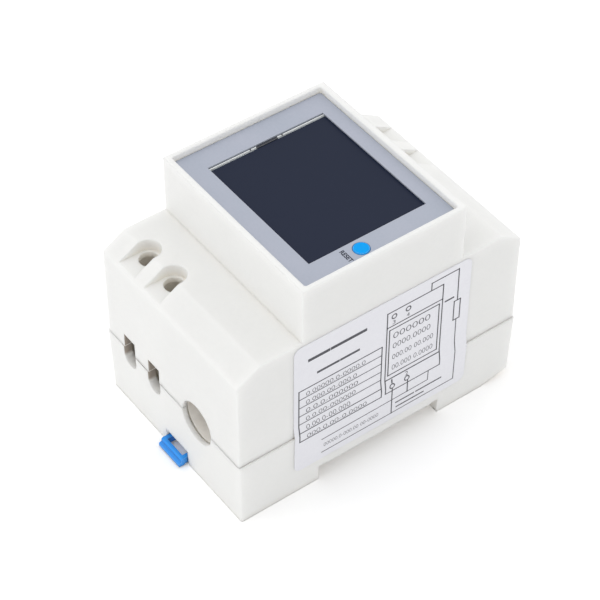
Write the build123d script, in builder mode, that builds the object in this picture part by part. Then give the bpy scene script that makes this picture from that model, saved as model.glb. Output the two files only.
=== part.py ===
from build123d import *
import os

# Three-module energy meter for a 35 mm rail, in millimetres. The rail runs along X, the
# terminals are at the two Y ends and +Z comes out of the front. The origin is the middle of
# the rail seat, which is the ceiling of the channel in the back.

# Base, the half of the housing that sits on the rail
base_width = 54.0
base_length = 80.0
base_draft = 0.4  # each side of the base leans in by this much at its feet
foot_depth = 4.3  # the feet reach this far behind the rail seat
parting_z = 14.9  # plane where base and cover meet
wall = 1.7
base_corner_radius = 0.5
relief_length = 9.0  # over this length the far foot rises, so that the meter tilts onto the rail
relief_height = 2.0

# Cover, with its two shoulders and the raised front block
cover_ledge_x = 0.45  # the base stands out by this much past the cover's sides
cover_ledge_y = 0.1
end_wall_z = 41.0  # top of the upright end walls
shoulder_z = 44.6
end_slope_length = 6.1  # from the end wall to the level part of the shoulder
front_z = 60.3
front_length = 45.0
bend_radius = 1.6
step_radius = 0.8
front_radius = 0.5
cover_edge_radius = 0.35
rim_radius = 0.3

# Rail channel, fixed hook and sliding clip
rail_width = 35.0
rail_play = 0.3
seat_inset = 2.0  # the seat ends this far from the channel's sides, clear of hook and clip
seat_relief = 0.3
hook_reach = 1.5
hook_gap = 1.6  # room for the rail flange between hook and seat
hook_lip_height = 2.3
hook_width = 40.0
clip_x = 0.55
clip_width = 8.5
clip_side_play = 0.2
clip_thickness = 1.9
clip_top_z = -1.8
clip_travel = 3.0
clip_tongue_reach = 1.6
clip_tongue_width = 6.0
clip_handle_length = 1.75
clip_slot_width = 6.2
clip_slot_length = 2.7
clip_arm_width = 0.75
clip_arm_length = 8.0
clip_nub_radius = 0.6  # the arms end in nubs that rub on the notch's sides
clip_nub_inset = 1.6
handle_gap = 0.3  # between the closed clip's handle and the end wall
handle_lip = 0.3  # lip under the handle for a finger nail
handle_edge = 0.6  # upright edge of the handle
handle_rise = 0.3  # the handle's top rises by this much towards its ridge
handle_step = 1.0  # depth of the handle behind its ridge
ridge_radius = 0.45
lip_radius = 0.25
tongue_slope = 1.6  # the tongue's tip slants over this length to ride up on the rail
notch_top_z = 0.2
guide_wall = 1.6
clip_ledge = 0.5  # rails above and below the clip's edges
clip_ledge_inset = 3.65  # from the end wall to where these rails start
stop_length = 1.6  # boss in the guide that stops the clip at both ends of its travel
stop_width = 1.8
stop_play = 0.1

# Terminals: two at each Y end, each with a screw, a rising cage and a fixed contact
terminal_side_inset = 9.4  # from the base's side to the first terminal
terminal_pitch = 10.1
terminal_end_inset = 6.9  # from the end wall to the middle of a terminal
cage_width = 7.4
cage_length = 6.0
cage_height = 13.3
cage_wall = 1.2
cage_roof = 2.0
cage_play = 0.3
cage_travel = 7.0
cage_seat_z = 8.9
seat_play = 0.1
cage_back_gap = 1.6  # free depth of the chamber behind the cage
rib = 1.5
seat_core_width = 4.8  # hollow in the feet under each cage's seat
screw_radius = 2.0
thread_play = 0.05
screw_head_radius = 2.75
screw_head_height = 2.2
screw_slot = 0.8
screw_cross_half = 1.8  # half the length of the slot's short cross stroke
guide_play = 0.3
contact_z = 17.9
contact_thickness = 1.2
contact_width = 4.4
contact_pin_width = 1.6
contact_leg_gap = 0.9  # between the contact's leg and the edge of the main board
well_floor_z = 41.4
well_radius = 3.1
screw_hole_radius = 2.4
entry_width = 5.0
entry_cover_width = 4.4
entry_top_z = 19.2
entry_bottom_z = 9.9
entry_wall = 2.3  # the end wall is this thick round the wire entries

# Through hole for the measured conductor, with the current transformer round it
ct_side_inset = 17.1  # from the base's side to the middle of the hole
ct_hole_radius = 5.7
tube_inner_radius = 5.6
tube_wall = 1.0
tube_end_gap = 0.35
ct_wall = 1.2  # the end wall is bored out to this round the tube's ends
saddle_play = 0.02
saddle_inner_y = 15.0
cradle_y = 2.0
core_inner_radius = 7.6
core_outer_radius = 10.0
core_length = 9.0
winding_thickness = 0.8
winding_play = 0.02
winding_arc = 330.0
ct_pin_spacing = 3.0
ct_pin_radius = 0.4

# Front panel and display
rim_x = 1.3
rim_y = 1.6
panel_depth = 1.65  # from the rim down to the face of the panel
panel_thickness = 0.45
panel_play = 0.1
ledge_thickness = 1.5
ledge_width = 1.6
window_margin_x = 6.2
window_margin_near = 5.55
window_margin_far = 3.95
glass_gap_x = 0.35  # slit between the window's edge and the glass at the -X side
glass_margin = 0.45  # bare edge of the glass beside the polarizer
glass_thickness = 1.0
polarizer_thickness = 0.2
glass_overlap_x = 0.25
glass_overlap_y = 0.85
fill_port_length = 5.6
fill_port_width = 0.3
fill_port_y = 0.8
fill_port_inset = 0.15  # the port's drop of glue stays inside the glass's faces
display_board_z = 49.7
board_thickness = 1.6
board_play = 0.4
frame_side_x = 2.05
frame_end_x = 0.4
frame_wall_y = 1.2
frame_floor = 1.0
frame_lip = 0.9
guide_plate_inset = 1.1
strip_width = 1.2
strip_gap = 0.8  # wall of the frame between the light guide and the strip
boss_radius = 1.9
boss_side_inset = 1.85
boss_end_inset = 2.2
boss_pilot_radius = 0.65
display_screw_head_height = 1.0
display_screw_reach = 3.0

# Reset button and its switch
button_side_inset = 3.35  # from the panel's edge to the middle of the button
button_y = -3.3
button_radius = 1.95
button_play = 0.1
button_stroke = 0.4
button_height = 0.2  # above the panel
button_cap = 1.4
button_edge = 0.2
button_tab_length = 6.8
button_tab_width = 2.0
button_tab_thickness = 0.9
stem_radius = 1.2
switch_width = 3.0
switch_length = 6.0
switch_height = 3.2
switch_corner = 0.3
plunger_radius = 1.0
plunger_height = 0.8
plunger_play = 0.08

# Main board and what stands on it
main_board_z = 26.7
post_side_inset = 2.65
post_y = 16.5
post_radius = 2.4
post_pilot_depth = 7.0
board_screw_radius = 1.2
board_screw_head = 2.3
board_screw_head_height = 1.5
lead_radius = 0.35
lead_play = 0.1
lead_length = 2.4
solder_reach = 1.0  # pins stand out of the boards by this much
dropper_size = (18.0, 9.0, 16.0)
dropper_place = (-9.0, -9.0)
dropper_leads = 15.0
dropper_corner = 0.8
filter_radius = 4.0
filter_height = 11.5
filter_place = (14.0, -10.0)
filter_leads = 3.5
filter_edge = 0.5
crimp_height = 2.0
crimp_half = 0.4
crimp_depth = 0.35
varistor_radius = 5.0
varistor_thickness = 4.0
varistor_place = (-16.0, 6.0)
varistor_leads = 5.0
varistor_edge = 0.9
varistor_lift = 0.6
fuse_radius = 1.8
fuse_length = 9.0
fuse_place = (2.0, 5.0)
fuse_leads = 14.0
fuse_lift = 0.3
fuse_bend = 1.05
chip_size = (10.0, 4.0, 1.5)
chip_place = (14.0, 8.0)
driver_place = (0, -6.0)  # the display's driver, under its board
chip_gap = 0.15
chip_pins = 8
chip_pin_pitch = 1.27
chip_pin_width = 0.4
chip_pin_reach = 1.0
header_y = 17.0
header_pins = 6
header_pitch = 2.54
header_pin = 0.64
header_block = 2.5
header_pin_play = 0.13
socket_height = 8.5
socket_roof = 1.5
header_engagement = 4.0

# Snap tongues that hold the cover on the base
tongue_y = 9.0
tongue_width = 6.0
tongue_thickness = 1.4
tongue_height = 6.0
tongue_play = 0.1
barb_depth = 0.6
barb_height = 2.0

# Side label
label_width = 50.0
label_y = 0.15
label_bottom_z = 3.0
label_top_z = 43.6
label_thickness = 0.15
label_corner_radius = 2.0
label_bend_height = 3.0  # over this height the label bends out from cover to base

# Places worked out from the sizes above
cover_half_x = base_width / 2 - cover_ledge_x
cover_half_y = base_length / 2 - cover_ledge_y
shoulder_bend_y = cover_half_y - end_slope_length
relief_start_y = base_length / 2 - relief_length
inner_x = cover_half_x - wall
inner_y = cover_half_y - wall
entry_inner_y = cover_half_y - entry_wall
base_inner_x = base_width / 2 - base_draft - wall
base_inner_y = base_length / 2 - base_draft - wall
foot_z = -foot_depth
base_depth = parting_z - foot_z
channel_half = (rail_width + rail_play) / 2
seat_half = channel_half - seat_inset
pocket_z = foot_z + wall
panel_face_z = front_z - panel_depth
panel_seat_z = panel_face_z - panel_thickness
ledge_z = panel_seat_z - ledge_thickness
panel_half_x = cover_half_x - rim_x
panel_half_y = front_length / 2 - rim_y
window_width = 2 * (panel_half_x - window_margin_x)
window_near_y = -panel_half_y + window_margin_near
window_far_y = panel_half_y - window_margin_far
window_length = window_far_y - window_near_y
window_y = (window_near_y + window_far_y) / 2
button_x = panel_half_x - button_side_inset
front_inner_y = front_length / 2 - wall
ledge_half_x = inner_x - ledge_width
ledge_half_y = front_inner_y - ledge_width
ends = (-1, 1)
terminal_y = base_length / 2 - terminal_end_inset
chamber_inner_y = terminal_y - cage_length / 2 - cage_back_gap
first_terminal_x = -base_width / 2 + terminal_side_inset
terminal_xs = [first_terminal_x, first_terminal_x + terminal_pitch]
ct_x = base_width / 2 - ct_side_inset
terminals = [(x, end) for end in ends for x in terminal_xs]
chamber_half = cage_width / 2 + cage_play
zone_low_x = terminal_xs[0] - chamber_half - rib
zone_high_x = terminal_xs[-1] + chamber_half + rib
rib_spans = [
    (zone_low_x, terminal_xs[0] - chamber_half),
    (terminal_xs[0] + chamber_half, terminal_xs[-1] - chamber_half),
    (terminal_xs[-1] + chamber_half, zone_high_x),
]
cage_bottom_z = cage_seat_z + seat_play
cage_top_z = cage_bottom_z + cage_height
contact_top_z = contact_z + contact_thickness
screw_tip_z = contact_top_z + thread_play
head_bottom_z = cage_top_z + cage_travel + 2 * guide_play
guide_bottom_z = head_bottom_z - guide_play
board_half_x = inner_x - board_play
board_half_y = chamber_inner_y - rib - board_play
board_top_z = main_board_z + board_thickness
post_x = board_half_x - post_side_inset
boss_x = inner_x - boss_side_inset
boss_y = front_inner_y - boss_end_inset
display_top_z = display_board_z + board_thickness
contact_leg_y = board_half_y - contact_leg_gap - contact_thickness
tube_radius = tube_inner_radius + tube_wall
tube_bore_y = cover_half_y - ct_wall
tube_half = tube_bore_y - tube_end_gap
winding_inner_radius = core_inner_radius - winding_thickness
winding_outer_radius = core_outer_radius + winding_thickness
winding_half = core_length / 2 + winding_thickness
glass_low_x = -window_width / 2 + glass_gap_x
glass_high_x = window_width / 2 + glass_overlap_x
glass_half_y = window_length / 2 + glass_overlap_y
glass_top_z = panel_seat_z - polarizer_thickness - panel_play
glass_z = glass_top_z - glass_thickness
tongue_x = inner_x - tongue_play
barb_top_z = parting_z + tongue_height - barb_height / 3
clip_bottom_z = clip_top_z - clip_thickness
stop_y = -terminal_y + stop_length
boss_spots = [(x, y) for x in (-boss_x, boss_x) for y in (-boss_y, boss_y)]
post_spots = [(x, y) for x in (-post_x, post_x) for y in (-post_y, post_y)]
header_xs = [(index - (header_pins - 1) / 2) * header_pitch for index in range(header_pins)]
header_half = header_pins * header_pitch / 2
header_span_y = (header_y - header_pitch / 2, header_y + header_pitch / 2)


def box_between(x_span, y_span, z_span, mode=Mode.ADD):
    """A box between two x, two y and two z values, in the part that is being built."""
    middle = ((x_span[0] + x_span[1]) / 2, (y_span[0] + y_span[1]) / 2, (z_span[0] + z_span[1]) / 2)
    with Locations(middle):
        Box(x_span[1] - x_span[0], y_span[1] - y_span[0], z_span[1] - z_span[0], mode=mode)


def rod_between(x, y, z_span, radius, mode=Mode.ADD):
    """An upright cylinder at x, y between two z values."""
    with Locations((x, y, (z_span[0] + z_span[1]) / 2)):
        Cylinder(radius, z_span[1] - z_span[0], mode=mode)


def at_end(end, near, far):
    """The y span from near to far, measured outwards from the middle, at one Y end."""
    return sorted((end * near, end * far))


def bore_along(radius, half_length):
    """A bore along Y on the axis of the through hole, reaching half_length to both sides."""
    with BuildSketch(Plane.XZ) as bore:
        with Locations((ct_x, parting_z)):
            Circle(radius)
    extrude(bore.sketch, amount=half_length, both=True, mode=Mode.SUBTRACT)


def housing_side(bottom_z, top_z):
    """Side outline of the cover: end walls, bent shoulders and the raised front block."""
    half = [
        (cover_half_y, bottom_z),
        (cover_half_y, end_wall_z),
        (shoulder_bend_y, shoulder_z),
        (front_length / 2, shoulder_z),
        (front_length / 2, top_z),
    ]
    return half + [(-y, z) for y, z in reversed(half)]


def well_outline(radius, reach):
    """Plan of the screw wells: round towards the front block and open towards the end wall."""
    for x, end in terminals:
        with Locations((x, end * terminal_y)):
            Circle(radius)
        with Locations((x, end * (terminal_y + reach) / 2)):
            Rectangle(2 * radius, reach - terminal_y)


# Lower half of the housing
relief_slope = relief_height / (base_length / 2 - relief_start_y)
with BuildPart() as base_housing:
    with BuildSketch(Plane.XY.offset(parting_z)):
        Rectangle(base_width, base_length)
    draft_angle = Vector(base_depth, 0, 0).get_angle(Vector(base_depth, base_draft, 0))
    extrude(amount=-base_depth, taper=draft_angle)
    corner_edges = [edge for edge in base_housing.edges() if abs(edge.tangent_at(0).Z) > 0.9]
    fillet(corner_edges, base_corner_radius)

    # Inside: a raised floor over the rail channel and a deeper pocket in each foot
    with BuildSketch(Plane.YZ):
        with BuildLine():
            Polyline(
                (-base_inner_y, parting_z),
                (-base_inner_y, pocket_z),
                (-channel_half - wall, pocket_z),
                (-channel_half - wall, wall),
                (channel_half + wall, wall),
                (channel_half + wall, pocket_z),
                (relief_start_y, pocket_z),
                (base_inner_y, pocket_z + relief_height),
                (base_inner_y, parting_z),
                close=True,
            )
        make_face()
    extrude(amount=base_inner_x, both=True, mode=Mode.SUBTRACT)

    # Terminal seats, the ribs between the chambers and the wall behind them
    for end in ends:
        zone_y = at_end(end, chamber_inner_y - rib, base_inner_y + wall / 2)
        box_between((zone_low_x, zone_high_x), zone_y, (pocket_z - wall / 2, cage_seat_z))
        for span in rib_spans:
            box_between(span, zone_y, (cage_seat_z, parting_z))
        back_y = at_end(end, chamber_inner_y - rib, chamber_inner_y)
        box_between((zone_low_x, zone_high_x), back_y, (cage_seat_z, parting_z))
        for x in terminal_xs:
            tab_half = chamber_half - seat_play
            box_between((x - tab_half, x + tab_half), back_y, (parting_z, contact_z))
        front_y = at_end(end, entry_inner_y, base_inner_y + wall / 2)
        box_between((zone_low_x, zone_high_x), front_y, (cage_seat_z, parting_z))

    # Housing of the clip guide, saddles of the tube and cradle of the current transformer
    guide_half = clip_width / 2 + clip_side_play + guide_wall
    guide_y = (-base_inner_y - wall / 2, -channel_half - wall / 2)
    box_between((clip_x - guide_half, clip_x + guide_half), guide_y, (pocket_z - wall / 2, wall))
    for end in ends:
        for saddle_y, floor_z in ((saddle_inner_y, wall), (terminal_y, pocket_z)):
            saddle_span = at_end(end, saddle_y - rib / 2, saddle_y + rib / 2)
            saddle_x = (ct_x - tube_radius - rib, ct_x + tube_radius + rib)
            box_between(saddle_x, saddle_span, (floor_z - wall / 2, parting_z))
        cradle_x = (ct_x - core_outer_radius, ct_x + core_outer_radius)
        cradle_span = at_end(end, cradle_y, cradle_y + rib)
        box_between(cradle_x, cradle_span, (wall / 2, parting_z - core_inner_radius))
    bore_along(tube_radius + saddle_play, tube_bore_y)
    bore_along(winding_outer_radius + saddle_play, winding_half + rib)

    # Posts of the main board
    for x, y in post_spots:
        pilot_z = (main_board_z - post_pilot_depth, main_board_z)
        rod_between(x, y, (wall / 2, main_board_z), post_radius)
        rod_between(x, y, pilot_z, board_screw_radius + thread_play, Mode.SUBTRACT)

    # Snap tongues with barbs
    for side in ends:
        for y in (-tongue_y, tongue_y):
            y_span = (y - tongue_width / 2, y + tongue_width / 2)
            inside_x = side * (tongue_x - tongue_thickness)
            root_x = sorted((inside_x, side * (base_inner_x + wall / 2)))
            box_between(root_x, y_span, (wall, parting_z))
            box_between(sorted((inside_x, side * tongue_x)), y_span, (parting_z, parting_z + tongue_height))
            with BuildSketch(Plane.XZ.offset(-y_span[0])):
                with BuildLine():
                    Polyline(
                        (side * (tongue_x - barb_depth), barb_top_z),
                        (side * tongue_x, barb_top_z),
                        (side * (tongue_x + barb_depth), barb_top_z - barb_height),
                        (side * (tongue_x - barb_depth), barb_top_z - barb_height),
                        close=True,
                    )
                make_face()
            extrude(amount=-tongue_width)

    # Rail channel, relief under the far foot and the fixed hook
    reach_x = base_width / 2 + 1
    box_between((-reach_x, reach_x), (-channel_half, channel_half), (foot_z - 1, 0), Mode.SUBTRACT)
    for end in ends:
        groove_y = at_end(end, seat_half, channel_half)
        box_between((-reach_x, reach_x), groove_y, (-1, seat_relief), Mode.SUBTRACT)
    with BuildSketch(Plane.YZ):
        with BuildLine():
            Polyline(
                (relief_start_y, foot_z),
                (base_length / 2 + 1, foot_z + relief_slope * (base_length / 2 + 1 - relief_start_y)),
                (base_length / 2 + 1, foot_z - 1),
                (relief_start_y, foot_z - 1),
                close=True,
            )
        make_face()
    extrude(amount=reach_x, both=True, mode=Mode.SUBTRACT)
    with BuildSketch(Plane.YZ):
        with BuildLine():
            Polyline(
                (channel_half + wall / 2, -hook_gap),
                (channel_half - hook_reach, -hook_gap),
                (channel_half - hook_reach, -hook_gap - hook_lip_height / 2),
                (channel_half, -hook_gap - hook_lip_height),
                (channel_half + wall / 2, -hook_gap - hook_lip_height),
                close=True,
            )
        make_face()
    extrude(amount=hook_width / 2, both=True)

    # Notch of the clip, with the stop boss and the rails that the clip's edges run between
    notch_half = clip_width / 2 + clip_side_play
    notch_x = (clip_x - notch_half, clip_x + notch_half)
    notch_y = (-base_length / 2 - 1, -channel_half + 1)
    box_between(notch_x, notch_y, (foot_z - 1, notch_top_z), Mode.SUBTRACT)
    stop_x = (clip_x - stop_width / 2, clip_x + stop_width / 2)
    box_between(stop_x, (stop_y - stop_length, stop_y), (clip_bottom_z, notch_top_z + wall / 2))
    ledge_y = (-base_length / 2 + clip_ledge_inset, -channel_half - wall)
    for side in ends:
        ledge_x = sorted((clip_x + side * (notch_half - clip_ledge), clip_x + side * (notch_half + wall / 2)))
        box_between(ledge_x, ledge_y, (foot_z, clip_bottom_z - seat_play))
        box_between(ledge_x, ledge_y, (clip_top_z + seat_play, notch_top_z))

    # Wire entries, through holes of the measured conductor and cores under the seats
    entry_floor_z = entry_bottom_z + entry_width / 2
    for x, end in terminals:
        through_y = at_end(end, entry_inner_y - 0.5, base_length / 2 + 1)
        entry_x = (x - entry_width / 2, x + entry_width / 2)
        box_between(entry_x, through_y, (entry_floor_z, parting_z + 1), Mode.SUBTRACT)
        with BuildSketch(Plane.XZ.offset(-through_y[0])):
            with Locations((x, entry_floor_z)):
                Circle(entry_width / 2)
        extrude(amount=-(through_y[1] - through_y[0]), mode=Mode.SUBTRACT)
        core_x = (x - seat_core_width / 2, x + seat_core_width / 2)
        core_y = at_end(end, terminal_y - cage_length / 2, terminal_y + cage_length / 2)
        box_between(core_x, core_y, (foot_z - 1, cage_seat_z - wall), Mode.SUBTRACT)
    bore_along(ct_hole_radius, base_length / 2 + 1)
base_housing.part.label = "base_housing"

# Hollow of the cover, with the ribs, wells and screw guides left standing in it
with BuildPart() as cover_hollow:
    with BuildSketch(Plane.YZ):
        with BuildLine():
            Polyline(*housing_side(parting_z - 2 * wall, ledge_z + wall), close=True)
        make_face()
        offset(amount=-wall, kind=Kind.INTERSECTION)
    extrude(amount=inner_x, both=True)
    for end in ends:
        for span in rib_spans:
            rib_y = at_end(end, chamber_inner_y - rib, cover_half_y)
            box_between(span, rib_y, (parting_z - wall, front_z), Mode.SUBTRACT)
        back_y = at_end(end, chamber_inner_y - rib, chamber_inner_y)
        back_z = (contact_top_z + seat_play, front_z)
        box_between((zone_low_x, zone_high_x), back_y, back_z, Mode.SUBTRACT)
        front_y = at_end(end, entry_inner_y, cover_half_y)
        box_between((zone_low_x, zone_high_x), front_y, (parting_z - wall, well_floor_z), Mode.SUBTRACT)
    with BuildSketch(Plane.XY.offset(well_floor_z - wall)):
        well_outline(well_radius + wall, cover_half_y)
    extrude(amount=shoulder_z - well_floor_z + wall, mode=Mode.SUBTRACT)
    for x, end in terminals:
        guide_z = (guide_bottom_z, well_floor_z - wall)
        guide_radius = screw_head_radius + guide_play
        rod_between(x, end * terminal_y, guide_z, chamber_half + guide_play, Mode.SUBTRACT)
        rod_between(x, end * terminal_y, guide_z, guide_radius)

# Upper half of the housing
with BuildPart() as top_cover:
    with BuildSketch(Plane.YZ) as cover_side:
        with BuildLine():
            Polyline(*housing_side(parting_z, front_z), close=True)
        make_face()
        levels = cover_side.vertices().group_by(Axis.Y)
        bends = [corner for corner in levels[2] if abs(corner.X) > front_length / 2 + 1]
        steps = [corner for corner in levels[2] if abs(corner.X) < front_length / 2 + 1]
        fillet(bends + list(levels[1]), bend_radius)
        fillet(steps, step_radius)
        fillet(levels[3], front_radius)
    extrude(amount=cover_half_x, both=True)
    side_edges = [
        edge
        for face in (top_cover.faces().sort_by(Axis.X)[0], top_cover.faces().sort_by(Axis.X)[-1])
        for edge in face.edges()
        if edge.center().Z > parting_z + cover_edge_radius
    ]
    fillet(side_edges, cover_edge_radius)
    add(cover_hollow.part, mode=Mode.SUBTRACT)

    # Pocket of the front panel, opening of the display and room for the reset button
    with BuildSketch(Plane.XY.offset(panel_seat_z)):
        Rectangle(2 * panel_half_x, 2 * panel_half_y)
        fillet(vertices(), front_radius)
    extrude(amount=front_z - panel_seat_z + 1, mode=Mode.SUBTRACT)
    rim_edges = [
        edge
        for edge in top_cover.edges()
        if abs(edge.center().Z - front_z) < rim_radius / 4
        and abs(edge.center().X) < panel_half_x + rim_radius
        and abs(edge.center().Y) < panel_half_y + rim_radius
    ]
    fillet(rim_edges, rim_radius)
    opening_z = (ledge_z - 1, panel_seat_z + 1)
    box_between((-ledge_half_x, ledge_half_x), (-ledge_half_y, ledge_half_y), opening_z, Mode.SUBTRACT)
    rod_between(button_x, button_y, opening_z, button_radius + 4 * button_play, Mode.SUBTRACT)

    # Screw wells and the holes through their floors
    with BuildSketch(Plane.XY.offset(well_floor_z)):
        well_outline(well_radius, cover_half_y + 1)
    extrude(amount=shoulder_z - well_floor_z + 1, mode=Mode.SUBTRACT)
    for x, end in terminals:
        hole_z = (well_floor_z - 2 * wall, well_floor_z + 1)
        rod_between(x, end * terminal_y, hole_z, screw_hole_radius, Mode.SUBTRACT)

    # Wire entries and the through hole, wider where the tube ends sit in the end walls
    for x, end in terminals:
        entry_x = (x - entry_cover_width / 2, x + entry_cover_width / 2)
        through_y = at_end(end, entry_inner_y - 0.5, cover_half_y + 1)
        box_between(entry_x, through_y, (parting_z - 1, entry_top_z), Mode.SUBTRACT)
    bore_along(ct_hole_radius, base_length / 2 + 1)
    bore_along(tube_radius + saddle_play, tube_bore_y)

    # Pockets that the barbs snap into
    for side in ends:
        for y in (-tongue_y, tongue_y):
            pocket_x = sorted((side * (inner_x - wall), side * (inner_x + barb_depth + tongue_play)))
            pocket_y = (y - tongue_width / 2 - tongue_play, y + tongue_width / 2 + tongue_play)
            pocket_z_span = (barb_top_z - barb_height - tongue_play, barb_top_z + tongue_play)
            box_between(pocket_x, pocket_y, pocket_z_span, Mode.SUBTRACT)

    # Bosses that carry the display board
    for x, y in boss_spots:
        rod_between(x, y, (display_top_z, ledge_z + ledge_thickness / 2), boss_radius)
        rod_between(x, y, (display_top_z, ledge_z), boss_pilot_radius + thread_play, Mode.SUBTRACT)
top_cover.part.label = "top_cover"

# Plate in the rim, with the display window and the hole of the button
with BuildPart() as front_panel:
    with BuildSketch(Plane.XY.offset(panel_seat_z)):
        Rectangle(2 * (panel_half_x - panel_play), 2 * (panel_half_y - panel_play))
        fillet(vertices(), front_radius)
        with Locations((0, window_y)):
            Rectangle(window_width, window_length, mode=Mode.SUBTRACT)
        with Locations((button_x, button_y)):
            Circle(button_radius + button_play, mode=Mode.SUBTRACT)
    extrude(amount=panel_thickness)
front_panel.part.label = "front_panel"

# Display cell: glass with its filling port, and the dark polarizer on it
with BuildPart() as lcd_glass:
    glass_y = (window_y - glass_half_y, window_y + glass_half_y)
    box_between((glass_low_x, glass_high_x), glass_y, (glass_z, glass_top_z))
    port_y = (fill_port_y - fill_port_length / 2, fill_port_y + fill_port_length / 2)
    port_z = (glass_z + fill_port_inset, glass_top_z - fill_port_inset)
    box_between((glass_low_x - fill_port_width, glass_low_x), port_y, port_z)
lcd_glass.part.label = "lcd_glass"

with BuildPart() as lcd_polarizer:
    film_y = (glass_y[0] + panel_play, glass_y[1] - panel_play)
    film_z = (glass_top_z, glass_top_z + polarizer_thickness)
    box_between((glass_low_x + glass_margin, glass_high_x - panel_play), film_y, film_z)
lcd_polarizer.part.label = "lcd_polarizer"

# Frame that holds the glass over the display board
frame_x = (glass_low_x - frame_side_x, glass_high_x + frame_end_x)
frame_y = (glass_y[0] - frame_wall_y, glass_y[1] + frame_wall_y)
light_x = (glass_low_x + guide_plate_inset, glass_high_x - guide_plate_inset)
light_y = (window_y - window_length / 2 + guide_plate_inset, window_y + window_length / 2 - guide_plate_inset)
strip_y = (light_y[1] + strip_gap, light_y[1] + strip_gap + strip_width)
with BuildPart() as lcd_frame:
    box_between(frame_x, frame_y, (display_top_z, glass_z + frame_lip))
    seat_x = (glass_low_x - fill_port_width - panel_play, frame_x[1] + 1)
    seat_y = (glass_y[0] - panel_play, glass_y[1] + panel_play)
    box_between(seat_x, seat_y, (glass_z, glass_z + 2 * frame_lip), Mode.SUBTRACT)
    box_between(light_x, light_y, (display_top_z + frame_floor, glass_z + 1), Mode.SUBTRACT)
    box_between(light_x, strip_y, (display_top_z - 1, glass_z + 1), Mode.SUBTRACT)
lcd_frame.part.label = "lcd_frame"

with BuildPart() as backlight_guide:
    plate_x = (light_x[0] + panel_play, light_x[1] - panel_play)
    plate_y = (light_y[0] + panel_play, light_y[1] - panel_play)
    box_between(plate_x, plate_y, (display_top_z + frame_floor, glass_z - panel_play))
backlight_guide.part.label = "backlight_guide"

with BuildPart() as contact_strip:
    strip_inner_y = (strip_y[0] + panel_play, strip_y[1] - panel_play)
    box_between(plate_x, strip_inner_y, (display_top_z, glass_z))
contact_strip.part.label = "contact_strip"

# Display board, with holes for the screws and the header pins
with BuildPart() as display_board:
    with BuildSketch(Plane.XY.offset(display_board_z)):
        Rectangle(2 * board_half_x, 2 * (front_inner_y - board_play))
        with Locations(*boss_spots):
            Circle(boss_pilot_radius + 2 * thread_play, mode=Mode.SUBTRACT)
    extrude(amount=board_thickness)
display_board.part.label = "display_board"

with BuildPart() as display_screws:
    for x, y in boss_spots:
        head_z = (display_board_z - display_screw_head_height, display_board_z)
        rod_between(x, y, head_z, 2 * boss_pilot_radius)
        rod_between(x, y, (display_board_z, display_top_z + display_screw_reach), boss_pilot_radius)
display_screws.part.label = "display_screws"

# Reset button: cap, cross tabs under the panel and a stem onto the switch
button_top_z = panel_face_z + button_height
cap_z = button_top_z - button_cap
switch_top_z = display_top_z + switch_height
plunger_top_z = switch_top_z + plunger_height
with BuildPart() as reset_button:
    rod_between(button_x, button_y, (cap_z, button_top_z), button_radius)
    cap_rim = reset_button.edges().filter_by(GeomType.CIRCLE).sort_by(Axis.Z)[-1]
    chamfer(cap_rim, button_edge)
    rod_between(button_x, button_y, (plunger_top_z, cap_z), stem_radius)
    tab_top_z = panel_seat_z - 2 * button_play
    tab_y = (button_y - button_tab_length / 2, button_y + button_tab_length / 2)
    tab_x = (button_x - button_tab_width / 2, button_x + button_tab_width / 2)
    box_between(tab_x, tab_y, (tab_top_z - button_tab_thickness, tab_top_z))
reset_button.part.label = "reset_button"

with BuildPart() as switch_plunger:
    rod_between(button_x, button_y, (switch_top_z - 3 * button_stroke, plunger_top_z), plunger_radius)
switch_plunger.part.label = "switch_plunger"

with BuildPart() as reset_switch:
    switch_x = (button_x - switch_width / 2, button_x + switch_width / 2)
    switch_y = (button_y - switch_length / 2, button_y + switch_length / 2)
    box_between(switch_x, switch_y, (display_top_z, switch_top_z))
    fillet(reset_switch.edges().filter_by(Axis.Z), switch_corner)
    bore_z = (switch_top_z - 5 * button_stroke, switch_top_z + 1)
    rod_between(button_x, button_y, bore_z, plunger_radius + plunger_play, Mode.SUBTRACT)
reset_switch.part.label = "reset_switch"

# Current transformer round the lined through hole
with BuildPart() as ct_tube:
    with BuildSketch(Plane.XZ.offset(-tube_half)):
        with Locations((ct_x, parting_z)):
            Circle(tube_radius)
            Circle(tube_inner_radius, mode=Mode.SUBTRACT)
    extrude(amount=2 * tube_half)
ct_tube.part.label = "ct_tube"

ct_axis = Axis((ct_x, 0, parting_z), (0, 1, 0))
with BuildPart() as ct_core:
    with BuildSketch(Plane.XY.offset(parting_z)):
        with Locations((ct_x + (core_inner_radius + core_outer_radius) / 2, 0)):
            Rectangle(core_outer_radius - core_inner_radius, core_length)
    revolve(axis=ct_axis)
ct_core.part.label = "ct_core"

with BuildPart() as ct_winding:
    with BuildSketch(Plane.XY.offset(parting_z)):
        with Locations((ct_x + (core_inner_radius + core_outer_radius) / 2, 0)):
            Rectangle(winding_outer_radius - winding_inner_radius, 2 * winding_half)
            chamfer(vertices(), winding_thickness / 2)
            Rectangle(
                core_outer_radius - core_inner_radius + 2 * winding_play,
                core_length + 2 * winding_play,
                mode=Mode.SUBTRACT,
            )
    revolve(axis=ct_axis, revolution_arc=winding_arc)
    winding_crown_z = parting_z + core_outer_radius + winding_thickness / 2
    for x in (ct_x - ct_pin_spacing / 2, ct_x + ct_pin_spacing / 2):
        rod_between(x, 0, (winding_crown_z, board_top_z + solder_reach), ct_pin_radius)
ct_winding.part.label = "ct_winding"

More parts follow.
